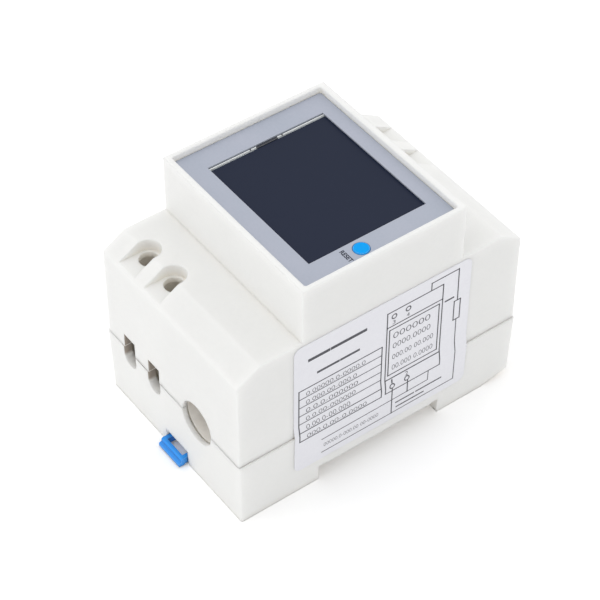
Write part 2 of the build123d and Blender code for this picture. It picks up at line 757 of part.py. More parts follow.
# Main board, with holes for every lead, pin and screw
lead_spots = [
    (dropper_place[0] - dropper_leads / 2, dropper_place[1]),
    (dropper_place[0] + dropper_leads / 2, dropper_place[1]),
    (filter_place[0] - filter_leads / 2, filter_place[1]),
    (filter_place[0] + filter_leads / 2, filter_place[1]),
    (varistor_place[0], varistor_place[1] - varistor_leads / 2),
    (varistor_place[0], varistor_place[1] + varistor_leads / 2),
    (fuse_place[0] - fuse_leads / 2, fuse_place[1]),
    (fuse_place[0] + fuse_leads / 2, fuse_place[1]),
]
lead_z = (board_top_z - lead_length, board_top_z)
contact_spots = [(x, end * (contact_leg_y + contact_thickness / 2)) for x, end in terminals]
with BuildPart() as main_board:
    with BuildSketch(Plane.XY.offset(main_board_z)):
        Rectangle(2 * board_half_x, 2 * board_half_y)
        with Locations(*post_spots):
            Circle(board_screw_radius + lead_play, mode=Mode.SUBTRACT)
        with Locations(*lead_spots):
            Circle(lead_radius + lead_play, mode=Mode.SUBTRACT)
        with Locations(*contact_spots):
            Rectangle(
                contact_pin_width + 2 * lead_play,
                contact_thickness + 2 * lead_play,
                mode=Mode.SUBTRACT,
            )
        with Locations(*[(x, header_y) for x in header_xs]):
            Rectangle(header_pin + 2 * header_pin_play, header_pin + 2 * header_pin_play, mode=Mode.SUBTRACT)
        with Locations((ct_x - ct_pin_spacing / 2, 0), (ct_x + ct_pin_spacing / 2, 0)):
            Circle(ct_pin_radius + lead_play, mode=Mode.SUBTRACT)
    extrude(amount=board_thickness)
main_board.part.label = "main_board"

with BuildPart() as board_screws:
    for x, y in post_spots:
        rod_between(x, y, (board_top_z, board_top_z + board_screw_head_height), board_screw_head)
        rod_between(x, y, (main_board_z - post_pilot_depth + 1, board_top_z), board_screw_radius)
board_screws.part.label = "board_screws"

with BuildPart() as dropper_capacitor:
    half_x = dropper_size[0] / 2
    half_y = dropper_size[1] / 2
    case_x = (dropper_place[0] - half_x, dropper_place[0] + half_x)
    case_y = (dropper_place[1] - half_y, dropper_place[1] + half_y)
    box_between(case_x, case_y, (board_top_z, board_top_z + dropper_size[2]))
    fillet(dropper_capacitor.edges().filter_by(Axis.Z), dropper_corner)
    for x, y in lead_spots[0:2]:
        rod_between(x, y, lead_z, lead_radius)
dropper_capacitor.part.label = "dropper_capacitor"

with BuildPart() as filter_capacitor:
    can_top_z = board_top_z + filter_height
    can_x = filter_place[0] + filter_radius
    crimp_z = board_top_z + crimp_height
    with BuildSketch(Plane.XZ.offset(-filter_place[1])):
        with BuildLine():
            Polyline(
                (filter_place[0], board_top_z),
                (can_x, board_top_z),
                (can_x, crimp_z - crimp_half),
                (can_x - crimp_depth, crimp_z),
                (can_x, crimp_z + crimp_half),
                (can_x, can_top_z - filter_edge),
                (can_x - filter_edge, can_top_z),
                (filter_place[0], can_top_z),
                close=True,
            )
        make_face()
    revolve(axis=Axis((filter_place[0], filter_place[1], 0), (0, 0, 1)))
    for x, y in lead_spots[2:4]:
        rod_between(x, y, lead_z, lead_radius)
filter_capacitor.part.label = "filter_capacitor"

with BuildPart() as varistor:
    disc_z = board_top_z + varistor_radius + varistor_lift
    with BuildSketch(Plane.YZ.offset(varistor_place[0] - varistor_thickness / 2)):
        with Locations((varistor_place[1], disc_z)):
            Circle(varistor_radius)
    extrude(amount=varistor_thickness)
    chamfer(varistor.edges().filter_by(GeomType.CIRCLE), varistor_edge)
    for x, y in lead_spots[4:6]:
        rod_between(x, y, (lead_z[0], disc_z), lead_radius)
varistor.part.label = "varistor"

with BuildPart() as fuse_resistor:
    fuse_z = board_top_z + fuse_radius + fuse_lift
    near_x = lead_spots[6][0]
    far_x = lead_spots[7][0]
    with BuildLine(Plane.XZ.offset(-fuse_place[1])):
        FilletPolyline(
            (near_x, lead_z[0]),
            (near_x, fuse_z),
            (far_x, fuse_z),
            (far_x, lead_z[0]),
            radius=fuse_bend,
        )
    with BuildSketch(Plane.XY.offset(lead_z[0])):
        with Locations((near_x, fuse_place[1])):
            Circle(lead_radius)
    sweep()
    with BuildSketch(Plane.YZ.offset(fuse_place[0] - fuse_length / 2)):
        with Locations((fuse_place[1], fuse_z)):
            Circle(fuse_radius)
    extrude(amount=fuse_length)
fuse_resistor.part.label = "fuse_resistor"


def chip(middle, z_face, side):
    """A flat chip on a board face: body and two rows of pins, up for side 1, down for -1."""
    x, y = middle
    half_x = chip_size[0] / 2
    half_y = chip_size[1] / 2
    body_z = sorted((z_face + side * chip_gap, z_face + side * (chip_gap + chip_size[2])))
    box_between((x - half_x, x + half_x), (y - half_y, y + half_y), body_z)
    pin_z = sorted((z_face, z_face + side * chip_size[2] / 2))
    for index in range(chip_pins):
        pin_x = x + (index - (chip_pins - 1) / 2) * chip_pin_pitch
        pin_span = (pin_x - chip_pin_width / 2, pin_x + chip_pin_width / 2)
        for row in ends:
            pin_y = sorted((y + row * half_y, y + row * (half_y + chip_pin_reach)))
            box_between(pin_span, pin_y, pin_z)


with BuildPart() as metering_chip:
    chip(chip_place, board_top_z, 1)
metering_chip.part.label = "metering_chip"

with BuildPart() as display_driver_chip:
    chip(driver_place, display_board_z, -1)
display_driver_chip.part.label = "display_driver_chip"

# Pin header between the two boards and its socket under the display board
with BuildPart() as board_header:
    box_between((-header_half, header_half), header_span_y, (board_top_z, board_top_z + header_block))
    pin_top_z = display_board_z - socket_height + header_engagement
    for x in header_xs:
        pin_x = (x - header_pin / 2, x + header_pin / 2)
        pin_y = (header_y - header_pin / 2, header_y + header_pin / 2)
        box_between(pin_x, pin_y, (main_board_z - solder_reach, pin_top_z))
board_header.part.label = "board_header"

with BuildPart() as header_socket:
    box_between((-header_half, header_half), header_span_y, (display_board_z - socket_height, display_board_z))
    for x in header_xs:
        hole_half = header_pin / 2 + header_pin_play
        hole_y = (header_y - hole_half, header_y + hole_half)
        hole_z = (display_board_z - socket_height - 1, display_board_z - socket_roof)
        box_between((x - hole_half, x + hole_half), hole_y, hole_z, Mode.SUBTRACT)
header_socket.part.label = "header_socket"

# Blue rail clip: handle with a ridge and a lip, driver slot, travel slot, tongue and side arms
handle_inner_y = -base_length / 2 - handle_gap
handle_outer_y = handle_inner_y - clip_handle_length
ridge_y = handle_inner_y - handle_step
lip_z = clip_bottom_z - handle_lip
tongue_tip_y = -rail_width / 2 + clip_tongue_reach
with BuildPart() as din_clip:
    with BuildSketch(Plane.YZ) as clip_side:
        with BuildLine():
            Polyline(
                (handle_outer_y, lip_z),
                (handle_outer_y, clip_bottom_z + handle_edge),
                (ridge_y, clip_bottom_z + handle_edge + handle_rise),
                (ridge_y, clip_top_z),
                (tongue_tip_y, clip_top_z),
                (tongue_tip_y, clip_top_z - clip_thickness / 2),
                (tongue_tip_y - tongue_slope, clip_bottom_z),
                (handle_inner_y, clip_bottom_z),
                (handle_inner_y - handle_lip, lip_z),
                close=True,
            )
        make_face()
        ridge = clip_side.vertices().group_by(Axis.Y)[-1].sort_by(Axis.X)[0]
        fillet(ridge, ridge_radius)
        lip = clip_side.vertices().sort_by(Axis.X)[1]
        fillet(lip, lip_radius)
    extrude(amount=clip_width / 2, both=True)
    slot_half = clip_slot_width / 2
    slot_y = (handle_inner_y, handle_inner_y + clip_slot_length)
    slot_z = (clip_bottom_z - 1, clip_top_z + 1)
    box_between((-slot_half, slot_half), slot_y, slot_z, Mode.SUBTRACT)
    travel_half = stop_width / 2 + stop_play
    travel_y = (stop_y - stop_length - stop_play, stop_y + clip_travel + stop_play)
    box_between((-travel_half, travel_half), travel_y, slot_z, Mode.SUBTRACT)
    for side in ends:
        arm_inner = clip_width / 2 - clip_arm_width
        arm_start_y = -channel_half - clip_arm_length
        gap_x = sorted((side * clip_tongue_width / 2, side * arm_inner))
        box_between(gap_x, (arm_start_y, tongue_tip_y + 1), slot_z, Mode.SUBTRACT)
        tip_x = sorted((side * arm_inner, side * clip_width))
        box_between(tip_x, (-channel_half - clip_side_play, tongue_tip_y + 1), slot_z, Mode.SUBTRACT)
    for side in ends:
        nub_x = side * (notch_half - thread_play - clip_nub_radius)
        nub_z = (clip_bottom_z, clip_top_z)
        rod_between(nub_x, -channel_half - clip_nub_inset, nub_z, clip_nub_radius)
din_clip.part = Pos(clip_x, 0, 0) * din_clip.part
din_clip.part.label = "din_clip"

# Side label: it runs down the cover, bends out over the ledge and lies on the leaning base
base_face_x = base_width / 2
label_foot_x = base_face_x - base_draft * (parting_z - label_bottom_z) / base_depth
bend_top_z = parting_z + label_bend_height
with BuildPart() as rating_label:
    with BuildSketch(Plane.XZ.offset(-label_y)):
        with BuildLine():
            Polyline(
                (cover_half_x, label_top_z),
                (cover_half_x, bend_top_z),
                (base_face_x, parting_z),
                (label_foot_x, label_bottom_z),
                (label_foot_x + label_thickness, label_bottom_z),
                (base_face_x + label_thickness, parting_z),
                (cover_half_x + label_thickness, bend_top_z),
                (cover_half_x + label_thickness, label_top_z),
                close=True,
            )
        make_face()
    extrude(amount=label_width / 2, both=True)
    with BuildSketch(Plane.YZ.offset(cover_half_x - 1)):
        with Locations((label_y, (label_top_z + label_bottom_z) / 2)):
            RectangleRounded(label_width, label_top_z - label_bottom_z, label_corner_radius)
    extrude(amount=3.0, mode=Mode.INTERSECT)
rating_label.part.label = "rating_label"

os.makedirs("parts", exist_ok=True)
single_pieces = [
    base_housing,
    top_cover,
    front_panel,
    lcd_glass,
    lcd_polarizer,
    lcd_frame,
    backlight_guide,
    contact_strip,
    display_board,
    display_screws,
    display_driver_chip,
    reset_button,
    switch_plunger,
    reset_switch,
    ct_tube,
    ct_core,
    ct_winding,
    main_board,
    board_screws,
    dropper_capacitor,
    filter_capacitor,
    varistor,
    fuse_resistor,
    metering_chip,
    board_header,
    header_socket,
    din_clip,
    rating_label,
]
for piece in single_pieces:
    export_step(piece.part, f"parts/{piece.part.label}.step")

# Four terminals, numbered along the near end and then along the far end
for number, (x, end) in enumerate(terminals, start=1):
    y = end * terminal_y

    # Screw: it turns with its tip on the contact and lifts the cage
    with BuildPart() as terminal_screw:
        rod_between(x, y, (screw_tip_z, head_bottom_z), screw_radius)
        tip_edge = terminal_screw.edges().filter_by(GeomType.CIRCLE).sort_by(Axis.Z)[0]
        chamfer(tip_edge, screw_radius / 5)
        head_top_z = head_bottom_z + screw_head_height
        rod_between(x, y, (head_bottom_z, head_top_z), screw_head_radius)
        head_edge = terminal_screw.edges().filter_by(GeomType.CIRCLE).sort_by(Axis.Z)[-1]
        chamfer(head_edge, screw_head_height / 6)
        slot_z = (head_top_z - screw_head_height / 2, head_top_z + 1)
        slot_reach = screw_head_radius + 1
        slot_side = (x - screw_slot / 2, x + screw_slot / 2)
        box_between(slot_side, (y - slot_reach, y + slot_reach), slot_z, Mode.SUBTRACT)
        cross_y = (y - screw_slot / 2, y + screw_slot / 2)
        box_between((x - screw_cross_half, x + screw_cross_half), cross_y, slot_z, Mode.SUBTRACT)
    terminal_screw.part.label = f"terminal_screw_{number}"
    export_step(terminal_screw.part, f"parts/terminal_screw_{number}.step")

    # Cage: a square tube round the contact, tapped in its roof
    with BuildPart() as terminal_cage:
        with BuildSketch(Plane.XZ.offset(-y + cage_length / 2)):
            with Locations((x, (cage_bottom_z + cage_top_z) / 2)):
                Rectangle(cage_width, cage_height)
                fillet(vertices(), cage_wall / 2)
            with Locations((x, (cage_bottom_z + cage_wall + cage_top_z - cage_roof) / 2)):
                Rectangle(
                    cage_width - 2 * cage_wall,
                    cage_height - cage_wall - cage_roof,
                    mode=Mode.SUBTRACT,
                )
        extrude(amount=-cage_length)
        tapped_z = (cage_top_z - cage_roof - 1, cage_top_z + 1)
        rod_between(x, y, tapped_z, screw_radius + thread_play, Mode.SUBTRACT)
    terminal_cage.part.label = f"terminal_cage_{number}"
    export_step(terminal_cage.part, f"parts/terminal_cage_{number}.step")

    # Contact: a bar through the cage, bent up to a pin in the main board
    with BuildPart() as terminal_contact:
        bar_y = at_end(end, contact_leg_y, terminal_y + cage_length / 2 + cage_play)
        half_bar = contact_width / 2
        box_between((x - half_bar, x + half_bar), bar_y, (contact_z, contact_top_z))
        leg_y = at_end(end, contact_leg_y, contact_leg_y + contact_thickness)
        box_between((x - half_bar, x + half_bar), leg_y, (contact_z, main_board_z))
        half_pin = contact_pin_width / 2
        box_between((x - half_pin, x + half_pin), leg_y, (main_board_z, board_top_z + solder_reach))
    terminal_contact.part.label = f"terminal_contact_{number}"
    export_step(terminal_contact.part, f"parts/terminal_contact_{number}.step")
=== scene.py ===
"""Looks of a rail-mounted energy meter: finishes, label print, studio and camera."""

import logging
import math
from collections.abc import Callable, Mapping, Sequence
from dataclasses import dataclass, field
from enum import Enum

import bmesh
import bpy
from mathutils import Matrix, Vector


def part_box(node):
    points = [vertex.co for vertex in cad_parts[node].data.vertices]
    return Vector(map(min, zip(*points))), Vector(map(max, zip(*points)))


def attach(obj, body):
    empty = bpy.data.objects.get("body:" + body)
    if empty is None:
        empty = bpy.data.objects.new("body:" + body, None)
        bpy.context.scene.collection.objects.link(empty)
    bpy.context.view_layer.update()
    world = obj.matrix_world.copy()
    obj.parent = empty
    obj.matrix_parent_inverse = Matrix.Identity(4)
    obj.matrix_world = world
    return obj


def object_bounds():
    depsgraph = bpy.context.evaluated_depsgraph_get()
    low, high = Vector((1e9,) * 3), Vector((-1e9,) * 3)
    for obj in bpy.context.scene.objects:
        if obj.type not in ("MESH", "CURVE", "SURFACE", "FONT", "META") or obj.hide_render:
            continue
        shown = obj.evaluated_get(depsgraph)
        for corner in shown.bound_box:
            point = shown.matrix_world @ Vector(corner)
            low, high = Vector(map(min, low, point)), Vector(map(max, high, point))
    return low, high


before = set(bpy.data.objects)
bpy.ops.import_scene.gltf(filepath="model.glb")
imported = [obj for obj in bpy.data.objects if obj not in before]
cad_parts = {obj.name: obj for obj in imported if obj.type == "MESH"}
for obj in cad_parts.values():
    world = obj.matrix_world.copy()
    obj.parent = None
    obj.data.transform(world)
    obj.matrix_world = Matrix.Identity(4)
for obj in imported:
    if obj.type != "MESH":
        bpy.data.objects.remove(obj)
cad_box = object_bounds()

MM = 0.001
WHITE = (1.0, 1.0, 1.0, 1.0)
REFRACTION = 1.5
PROBE_SAMPLES = 6
TERMINALS = 4

log = logging.getLogger("energy_meter")

Socket = bpy.types.NodeSocket
Feed = Socket | float | tuple[float, ...]
Point = tuple[float, float]
Rectangle = tuple[Point, Point]


@dataclass(frozen=True)
class Colour:
    """A colour as it looks on a screen.

    Attributes:
        red: Its red channel, from 0 to 255.
        green: Its green channel.
        blue: Its blue channel.
    """

    red: float
    green: float
    blue: float

    def linear(self) -> tuple[float, float, float, float]:
        """Returns the scene-linear colour with full alpha."""
        return (*(self._channel(value / 255) for value in (self.red, self.green, self.blue)), 1.0)

    def times(self, factor: float) -> "Colour":
        """Returns the colour with each channel multiplied by factor."""
        return Colour(self.red * factor, self.green * factor, self.blue * factor)

    @staticmethod
    def _channel(value: float) -> float:
        """Returns one channel, from 0 to 1, in linear light."""
        return value / 12.92 if value <= 0.04045 else ((value + 0.055) / 1.055) ** 2.4


class Bench:
    """Adds, sets and joins the nodes of one node tree."""

    def __init__(self, tree: bpy.types.NodeTree) -> None:
        """Works on the tree of a material, a world or a group, and starts from no nodes."""
        self.tree = tree
        self.tree.nodes.clear()

    def add(
        self, kind: str, feeds: Mapping[str | int, Feed] | None = None, **settings: object
    ) -> bpy.types.Node:
        """Adds a node.

        Args:
            kind: Blender's name for the node, such as ShaderNodeTexNoise.
            feeds: What each input takes: a socket to join or a fixed value.
            **settings: Values of the node's own properties.

        Returns:
            The new node.
        """
        node = self.tree.nodes.new(kind)
        for name, value in settings.items():
            setattr(node, name, value)
        for name, value in (feeds or {}).items():
            if isinstance(value, Socket):
                self.tree.links.new(value, node.inputs[name])
            else:
                node.inputs[name].default_value = value
        return node

    def math(self, operation: str, *values: Feed) -> Socket:
        """Returns the result of a Math node on the values, in their order."""
        return self.add("ShaderNodeMath", dict(enumerate(values)), operation=operation).outputs[0]

    def blend(self, factor: Feed, first: Feed, second: Feed) -> Socket:
        """Mixes two colours.

        Args:
            factor: Share of the second colour.
            first: Colour at factor 0.
            second: Colour at factor 1.

        Returns:
            The mixed colour.
        """
        # The Mix node has sockets of every data type: 6, 7 and output 2 are its colours.
        feeds = {0: factor, 6: first, 7: second}
        return self.add("ShaderNodeMix", feeds, data_type="RGBA", clamp_factor=True).outputs[2]

    def span(
        self, value: Feed, low: float, high: float, to_low: float = 0.0, to_high: float = 1.0
    ) -> Socket:
        """Returns value mapped from low..high to to_low..to_high and kept inside it."""
        feeds = {"Value": value, "From Min": low, "From Max": high, "To Min": to_low, "To Max": to_high}
        return self.add("ShaderNodeMapRange", feeds, clamp=True).outputs["Result"]

    def ramp(self, mask: Socket, start: float, end: float) -> Socket:
        """Returns a number that goes from start to end as mask goes from 0 to 1."""
        return self.span(mask, 0.0, 1.0, start, end)

    def weigh(self, first: Socket, second: Socket, share: float) -> Socket:
        """Returns the mean of two masks, of which the first has that share."""
        return self.math("MULTIPLY_ADD", first, share, self.math("MULTIPLY", second, 1.0 - share))

    def place(self) -> Socket:
        """Returns the point that is shaded, in metres in the part's own frame."""
        return self.add("ShaderNodeTexCoord").outputs["Object"]

    def along(self, axis: str) -> Socket:
        """Returns how far along X, Y or Z that point lies, in metres."""
        return self.add("ShaderNodeSeparateXYZ", {0: self.place()}).outputs[axis]

    def scaled(self, size: Feed) -> Socket:
        """Returns that point measured in units of size."""
        rate = self.math("DIVIDE", 1.0, size)
        return self.add("ShaderNodeVectorMath", {0: self.place(), 3: rate}, operation="SCALE").outputs[0]

    def noise(self, place: Socket, scale: float, detail: float, roughness: float = 0.5) -> Socket:
        """Returns a noise from 0 to 1 at place."""
        feeds = {"Vector": place, "Scale": scale, "Detail": detail, "Roughness": roughness}
        return self.add("ShaderNodeTexNoise", feeds).outputs["Fac"]

    def relief(self, height: Socket, depth: float, normal: Socket | None = None) -> Socket:
        """Turns a height into a normal.

        Args:
            height: Height of the relief, from 0 to 1.
            depth: What a height of 1 comes to, in metres.
            normal: Normal of the surface under it, or None for its own.

        Returns:
            The normal.
        """
        feeds = {"Height": height, "Distance": depth}
        if normal is not None:
            feeds["Normal"] = normal
        return self.add("ShaderNodeBump", feeds).outputs[0]

    def as_seen(self, lighting: Socket, seen: Socket) -> Socket:
        """Joins two shaders, of which one is seen and the other lights the meter.

        Args:
            lighting: Shader that the meter is lit by.
            seen: Shader that shows straight and through gloss or glass.

        Returns:
            The joined shader.
        """
        rays = self.add("ShaderNodeLightPath").outputs
        watched = self.math("MAXIMUM", rays["Is Camera Ray"], rays["Is Glossy Ray"])
        watched = self.math("MAXIMUM", watched, rays["Is Transmission Ray"])
        return self.add("ShaderNodeMixShader", {0: watched, 1: lighting, 2: seen}).outputs[0]

    def surface(self, feeds: Mapping[str, Feed]) -> None:
        """Adds the shader that takes the feeds, and the material's output."""
        shader = self.add("ShaderNodeBsdfPrincipled", feeds)
        self.add("ShaderNodeOutputMaterial", {"Surface": shader.outputs[0]})


class Effect(Enum):
    """Surface effects that more than one finish uses, each built once as a node group."""

    MOULD_GRAIN = "mould_grain"
    SOFT_EDGE = "soft_edge"
    TONE_DRIFT = "tone_drift"
    CREVICE = "crevice"
    FINE_SCRATCHES = "fine_scratches"

    def on(self, bench: Bench, **measures: float) -> Mapping[str, Socket]:
        """Places the effect in a material.

        Args:
            bench: The material's bench.
            **measures: What the group's input takes, by name, in metres.

        Returns:
            The effect's outputs by name.
        """
        tree = bpy.data.node_groups.get(self.value) or self._build()
        return bench.add("ShaderNodeGroup", measures, node_tree=tree).outputs

    def _build(self) -> bpy.types.NodeTree:
        """Builds the effect's node group.

        Returns:
            The group's tree.
        """
        maker, measure, usual, outputs = {
            Effect.MOULD_GRAIN: (_mould_grain, "Size", 0.3 * MM, {"Height": "Float", "Tone": "Float"}),
            Effect.SOFT_EDGE: (_soft_edge, "Radius", 0.2 * MM, {"Normal": "Vector", "Edge": "Float"}),
            Effect.TONE_DRIFT: (_tone_drift, "Size", 12 * MM, {"Factor": "Float"}),
            Effect.CREVICE: (_crevice, "Reach", 1.5 * MM, {"Shade": "Float"}),
            Effect.FINE_SCRATCHES: (_fine_scratches, "Size", 0.4 * MM, {"Mask": "Float"}),
        }[self]
        tree = bpy.data.node_groups.new(self.value, "ShaderNodeTree")
        entry = tree.interface.new_socket(measure, in_out="INPUT", socket_type="NodeSocketFloat")
        entry.default_value = usual
        for name, kind in outputs.items():
            tree.interface.new_socket(name, in_out="OUTPUT", socket_type=f"NodeSocket{kind}")
        bench = Bench(tree)
        given = bench.add("NodeGroupInput").outputs[measure]
        bench.add("NodeGroupOutput", maker(bench, given))
        return tree


def _mould_grain(bench: Bench, size: Socket) -> dict[str, Socket]:
    """Makes the fine pitted skin that an eroded mould leaves on plastic.

    Args:
        bench: The group's bench.
        size: Width of a pit, in metres.

    Returns:
        Height and Tone, both from 0 to 1.
    """
    place = bench.scaled(size)
    fine = bench.noise(place, scale=1.0, detail=2.0, roughness=0.6)
    pits = bench.add("ShaderNodeTexVoronoi", {"Vector": place, "Scale": 0.8}, feature="F1")
    height = bench.math("MULTIPLY_ADD", pits.outputs["Distance"], 0.45, fine)
    tone = bench.noise(place, scale=0.3, detail=3.0)
    return {"Height": bench.span(height, 0.4, 1.1), "Tone": bench.span(tone, 0.3, 0.7)}


def _soft_edge(bench: Bench, radius: Socket) -> dict[str, Socket]:
    """Rounds sharp edges in the shading and masks them.

    Args:
        bench: The group's bench.
        radius: How far an edge is rounded, in metres.

    Returns:
        Normal, and Edge from 0 on flats to 1 on edges.
    """
    bevel = bench.add("ShaderNodeBevel", {"Radius": radius}, samples=PROBE_SAMPLES).outputs[0]
    flat = bench.add("ShaderNodeNewGeometry").outputs["Normal"]
    likeness = bench.add("ShaderNodeVectorMath", {0: bevel, 1: flat}, operation="DOT_PRODUCT")
    return {"Normal": bevel, "Edge": bench.span(likeness.outputs["Value"], 0.99, 0.75)}


def _tone_drift(bench: Bench, size: Socket) -> dict[str, Socket]:
    """Makes slow clouds of tone over a surface.

    Args:
        bench: The group's bench.
        size: Width of a cloud, in metres.

    Returns:
        Factor, from 0 to 1.
    """
    cloud = bench.noise(bench.scaled(size), scale=1.0, detail=4.0, roughness=0.55)
    return {"Factor": bench.span(cloud, 0.28, 0.72)}


def _crevice(bench: Bench, reach: Socket) -> dict[str, Socket]:
    """Finds corners and slits, where painted shade goes.

    Args:
        bench: The group's bench.
        reach: How far a facing wall counts, in metres.

    Returns:
        Shade, from 0 in the open to 1 deep in a slit.
    """
    feeds = {"Distance": reach}
    openness = bench.add("ShaderNodeAmbientOcclusion", feeds, samples=PROBE_SAMPLES).outputs["AO"]
    return {"Shade": bench.span(openness, 0.9, 0.2)}


def _fine_scratches(bench: Bench, size: Socket) -> dict[str, Socket]:
    """Makes short hair-thin handling marks that run in three directions.

    Args:
        bench: The group's bench.
        size: Spacing of the marks, in metres.

    Returns:
        Mask, from 0 on clean metal to 1 in a mark.
    """
    place = bench.scaled(size)
    masks = []
    for turn, stretch in ((0.35, 0.12), (1.3, 0.1), (2.4, 0.16)):
        feeds = {"Vector": place, "Rotation": (turn, turn * 0.7, turn), "Scale": (1.0, stretch, 1.0)}
        turned = bench.add("ShaderNodeMapping", feeds).outputs[0]
        masks.append(bench.span(bench.noise(turned, scale=2.0, detail=1.0), 0.6, 0.68))
    both = bench.math("MAXIMUM", masks[0], masks[1])
    return {"Mask": bench.math("MAXIMUM", both, masks[2])}


@dataclass(frozen=True)
class Recipe:
    """What every finish has in common."""

    def material(self, name: str) -> bpy.types.Material:
        """Makes the finish as a material.

        Args:
            name: The material's name.

        Returns:
            The material.
        """
        material = bpy.data.materials.new(name)
        material.use_nodes = True
        self.fill(Bench(material.node_tree))
        return material

    def fill(self, bench: Bench) -> None:
        """Adds the nodes of the finish, which each kind of finish says for itself."""
        raise NotImplementedError


@dataclass(frozen=True)
class PaintedBayShade:
    """The inside of a row of openings at both ends, with painted shade that makes it darker than other
    holes.

    Attributes:
        colour: Painted shade: colour of the light that comes back from it.
        seam_highlight: Painted highlight on the edge where two mouldings meet inside it.
        low: Height where it starts, in metres.
        high: Height where it ends.
        seam: Height of the edge inside it.
        seam_half: Half the height of that edge.
        reach: How far from the middle, along Y, it starts.
        across: Where the row starts and ends along X, in metres.
        fade: Over what length it fades in and out, in metres.
        side_fade: The same at the ends of the row.
        facing: How squarely a wall faces along Y where the bay ends and where it is full.
    """

    colour: Colour
    seam_highlight: Colour
    low: float = 12.0 * MM
    high: float = 20.0 * MM
    seam: float = 15.1 * MM
    seam_half: float = 0.16 * MM
    reach: float = 30.0 * MM
    across: Point = (-21.0 * MM, -4.2 * MM)
    fade: float = 1.0 * MM
    side_fade: float = 0.1 * MM
    facing: Point = (0.7, 0.5)

    def over(self, bench: Bench, colour: Socket) -> Socket:
        """Paints the bay's shade over a colour, on the walls that don't face outwards along Y.

        Args:
            bench: The material's bench.
            colour: Colour outside the bay.

        Returns:
            The colour with the painted shade on it.
        """
        height = bench.along("Z")
        across = bench.along("X")
        out = bench.math("ABSOLUTE", bench.along("Y"))
        normal = bench.add("ShaderNodeNewGeometry").outputs["True Normal"]
        facing = bench.add("ShaderNodeSeparateXYZ", {0: normal}).outputs["Y"]
        limits = (
            (height, self.low - self.fade / 2, self.low + self.fade / 2),
            (height, self.high, self.high - self.fade),
            (out, self.reach - self.fade, self.reach),
            (across, self.across[0] - self.side_fade, self.across[0]),
            (across, self.across[1] + self.side_fade, self.across[1]),
            (bench.math("ABSOLUTE", facing), *self.facing),
        )
        mask = bench.span(*limits[0])
        for limit in limits[1:]:
            mask = bench.math("MULTIPLY", mask, bench.span(*limit))
        # Painted highlight along the seam inside the bay.
        line = bench.math("COMPARE", height, self.seam, self.seam_half)
        inner = bench.blend(line, self.colour.linear(), self.seam_highlight.linear())
        return bench.blend(mask, colour, inner)


@dataclass(frozen=True)
class MouldedPlastic(Recipe):
    """An injection-moulded plastic with a fine pitted skin.

    Attributes:
        colour: Its colour in the open.
        drift: Colour that slow clouds lead to.
        shade: Multiplies the colour in slits and corners, as painted shade.
        depth: Painted colour of the light that comes back from deep holes, or None.
        depth_reach: How far a facing wall makes a hole deep, in metres.
        depth_start: Depth, from 0 to 1, where that colour starts.
        depth_share: Share of that colour in the deepest holes.
        bay: Openings with painted shade inside, or None.
        high_shade_colour: Painted shade higher up, where less light comes in, or None.
        high_span: Heights where that colour starts and is full, in metres.
        roughness: Its middle roughness.
        uneven: How far the skin takes the roughness up and down from there.
        grain_size: Width of a pit of the skin, in metres.
        grain_depth: Height of the skin's relief, in metres.
        edge_radius: How far edges look rounded, in metres.
        edge_light: Share of white painted on edges as a highlight.
        specular: Specular level of the surface.
        milkiness: Share of the light that goes into the plastic and comes out beside.
        milk_depth: How far that light goes, in metres.
    """

    colour: Colour
    drift: Colour
    shade: float = 0.8
    depth: Colour | None = None
    depth_reach: float = 7.0 * MM
    depth_start: float = 0.55
    depth_share: float = 0.8
    bay: PaintedBayShade | None = None
    high_shade_colour: Colour | None = None
    high_span: Point = (12.0 * MM, 20.5 * MM)
    roughness: float = 0.5
    uneven: float = 0.06
    grain_size: float = 0.32 * MM
    grain_depth: float = 0.012 * MM
    edge_radius: float = 0.22 * MM
    edge_light: float = 0.25
    specular: float = 0.4
    milkiness: float = 0.0
    milk_depth: float = 2.5 * MM

    def fill(self, bench: Bench) -> None:
        """Adds the nodes of the plastic.

        Args:
            bench: The material's bench.
        """
        grain = Effect.MOULD_GRAIN.on(bench, Size=self.grain_size)
        edge = Effect.SOFT_EDGE.on(bench, Radius=self.edge_radius)
        clouds = Effect.TONE_DRIFT.on(bench)["Factor"]
        slit = Effect.CREVICE.on(bench)["Shade"]
        mottle = bench.weigh(grain["Tone"], clouds, share=0.35)
        colour = bench.blend(mottle, self.colour.linear(), self.drift.linear())
        # Painted shade: the colour turns darker higher up, where less light comes in.
        if self.high_shade_colour:
            height = bench.span(bench.along("Z"), *self.high_span)
            colour = bench.blend(height, colour, self.high_shade_colour.linear())
        # Painted highlight: edges are lightened towards white.
        edge_lightening = bench.math("MULTIPLY", edge["Edge"], self.edge_light)
        colour = bench.blend(edge_lightening, colour, WHITE)
        # Painted shade: the colour is darkened in slits and corners.
        colour = bench.blend(slit, colour, self.colour.times(self.shade).linear())
        # Painted light: deep holes take a warm colour that stands in for light coming back from their
        # walls.
        if self.depth:
            hole = Effect.CREVICE.on(bench, Reach=self.depth_reach)["Shade"]
            deep = bench.span(hole, self.depth_start, 1.0, 0.0, self.depth_share)
            colour = bench.blend(deep, colour, self.depth.linear())
        # Painted shade inside the bay of openings.
        if self.bay:
            colour = self.bay.over(bench, colour)
        rough, smooth = self.roughness + self.uneven, self.roughness - self.uneven
        bench.surface({
            "Base Color": colour,
            "Roughness": bench.ramp(grain["Height"], rough, smooth),
            "Normal": bench.relief(grain["Height"], self.grain_depth, edge["Normal"]),
            "Specular IOR Level": self.specular,
            "IOR": REFRACTION,
            "Subsurface Weight": self.milkiness,
            "Subsurface Scale": self.milk_depth,
            "Subsurface Radius": (1.0, 1.0, 1.0),
        })


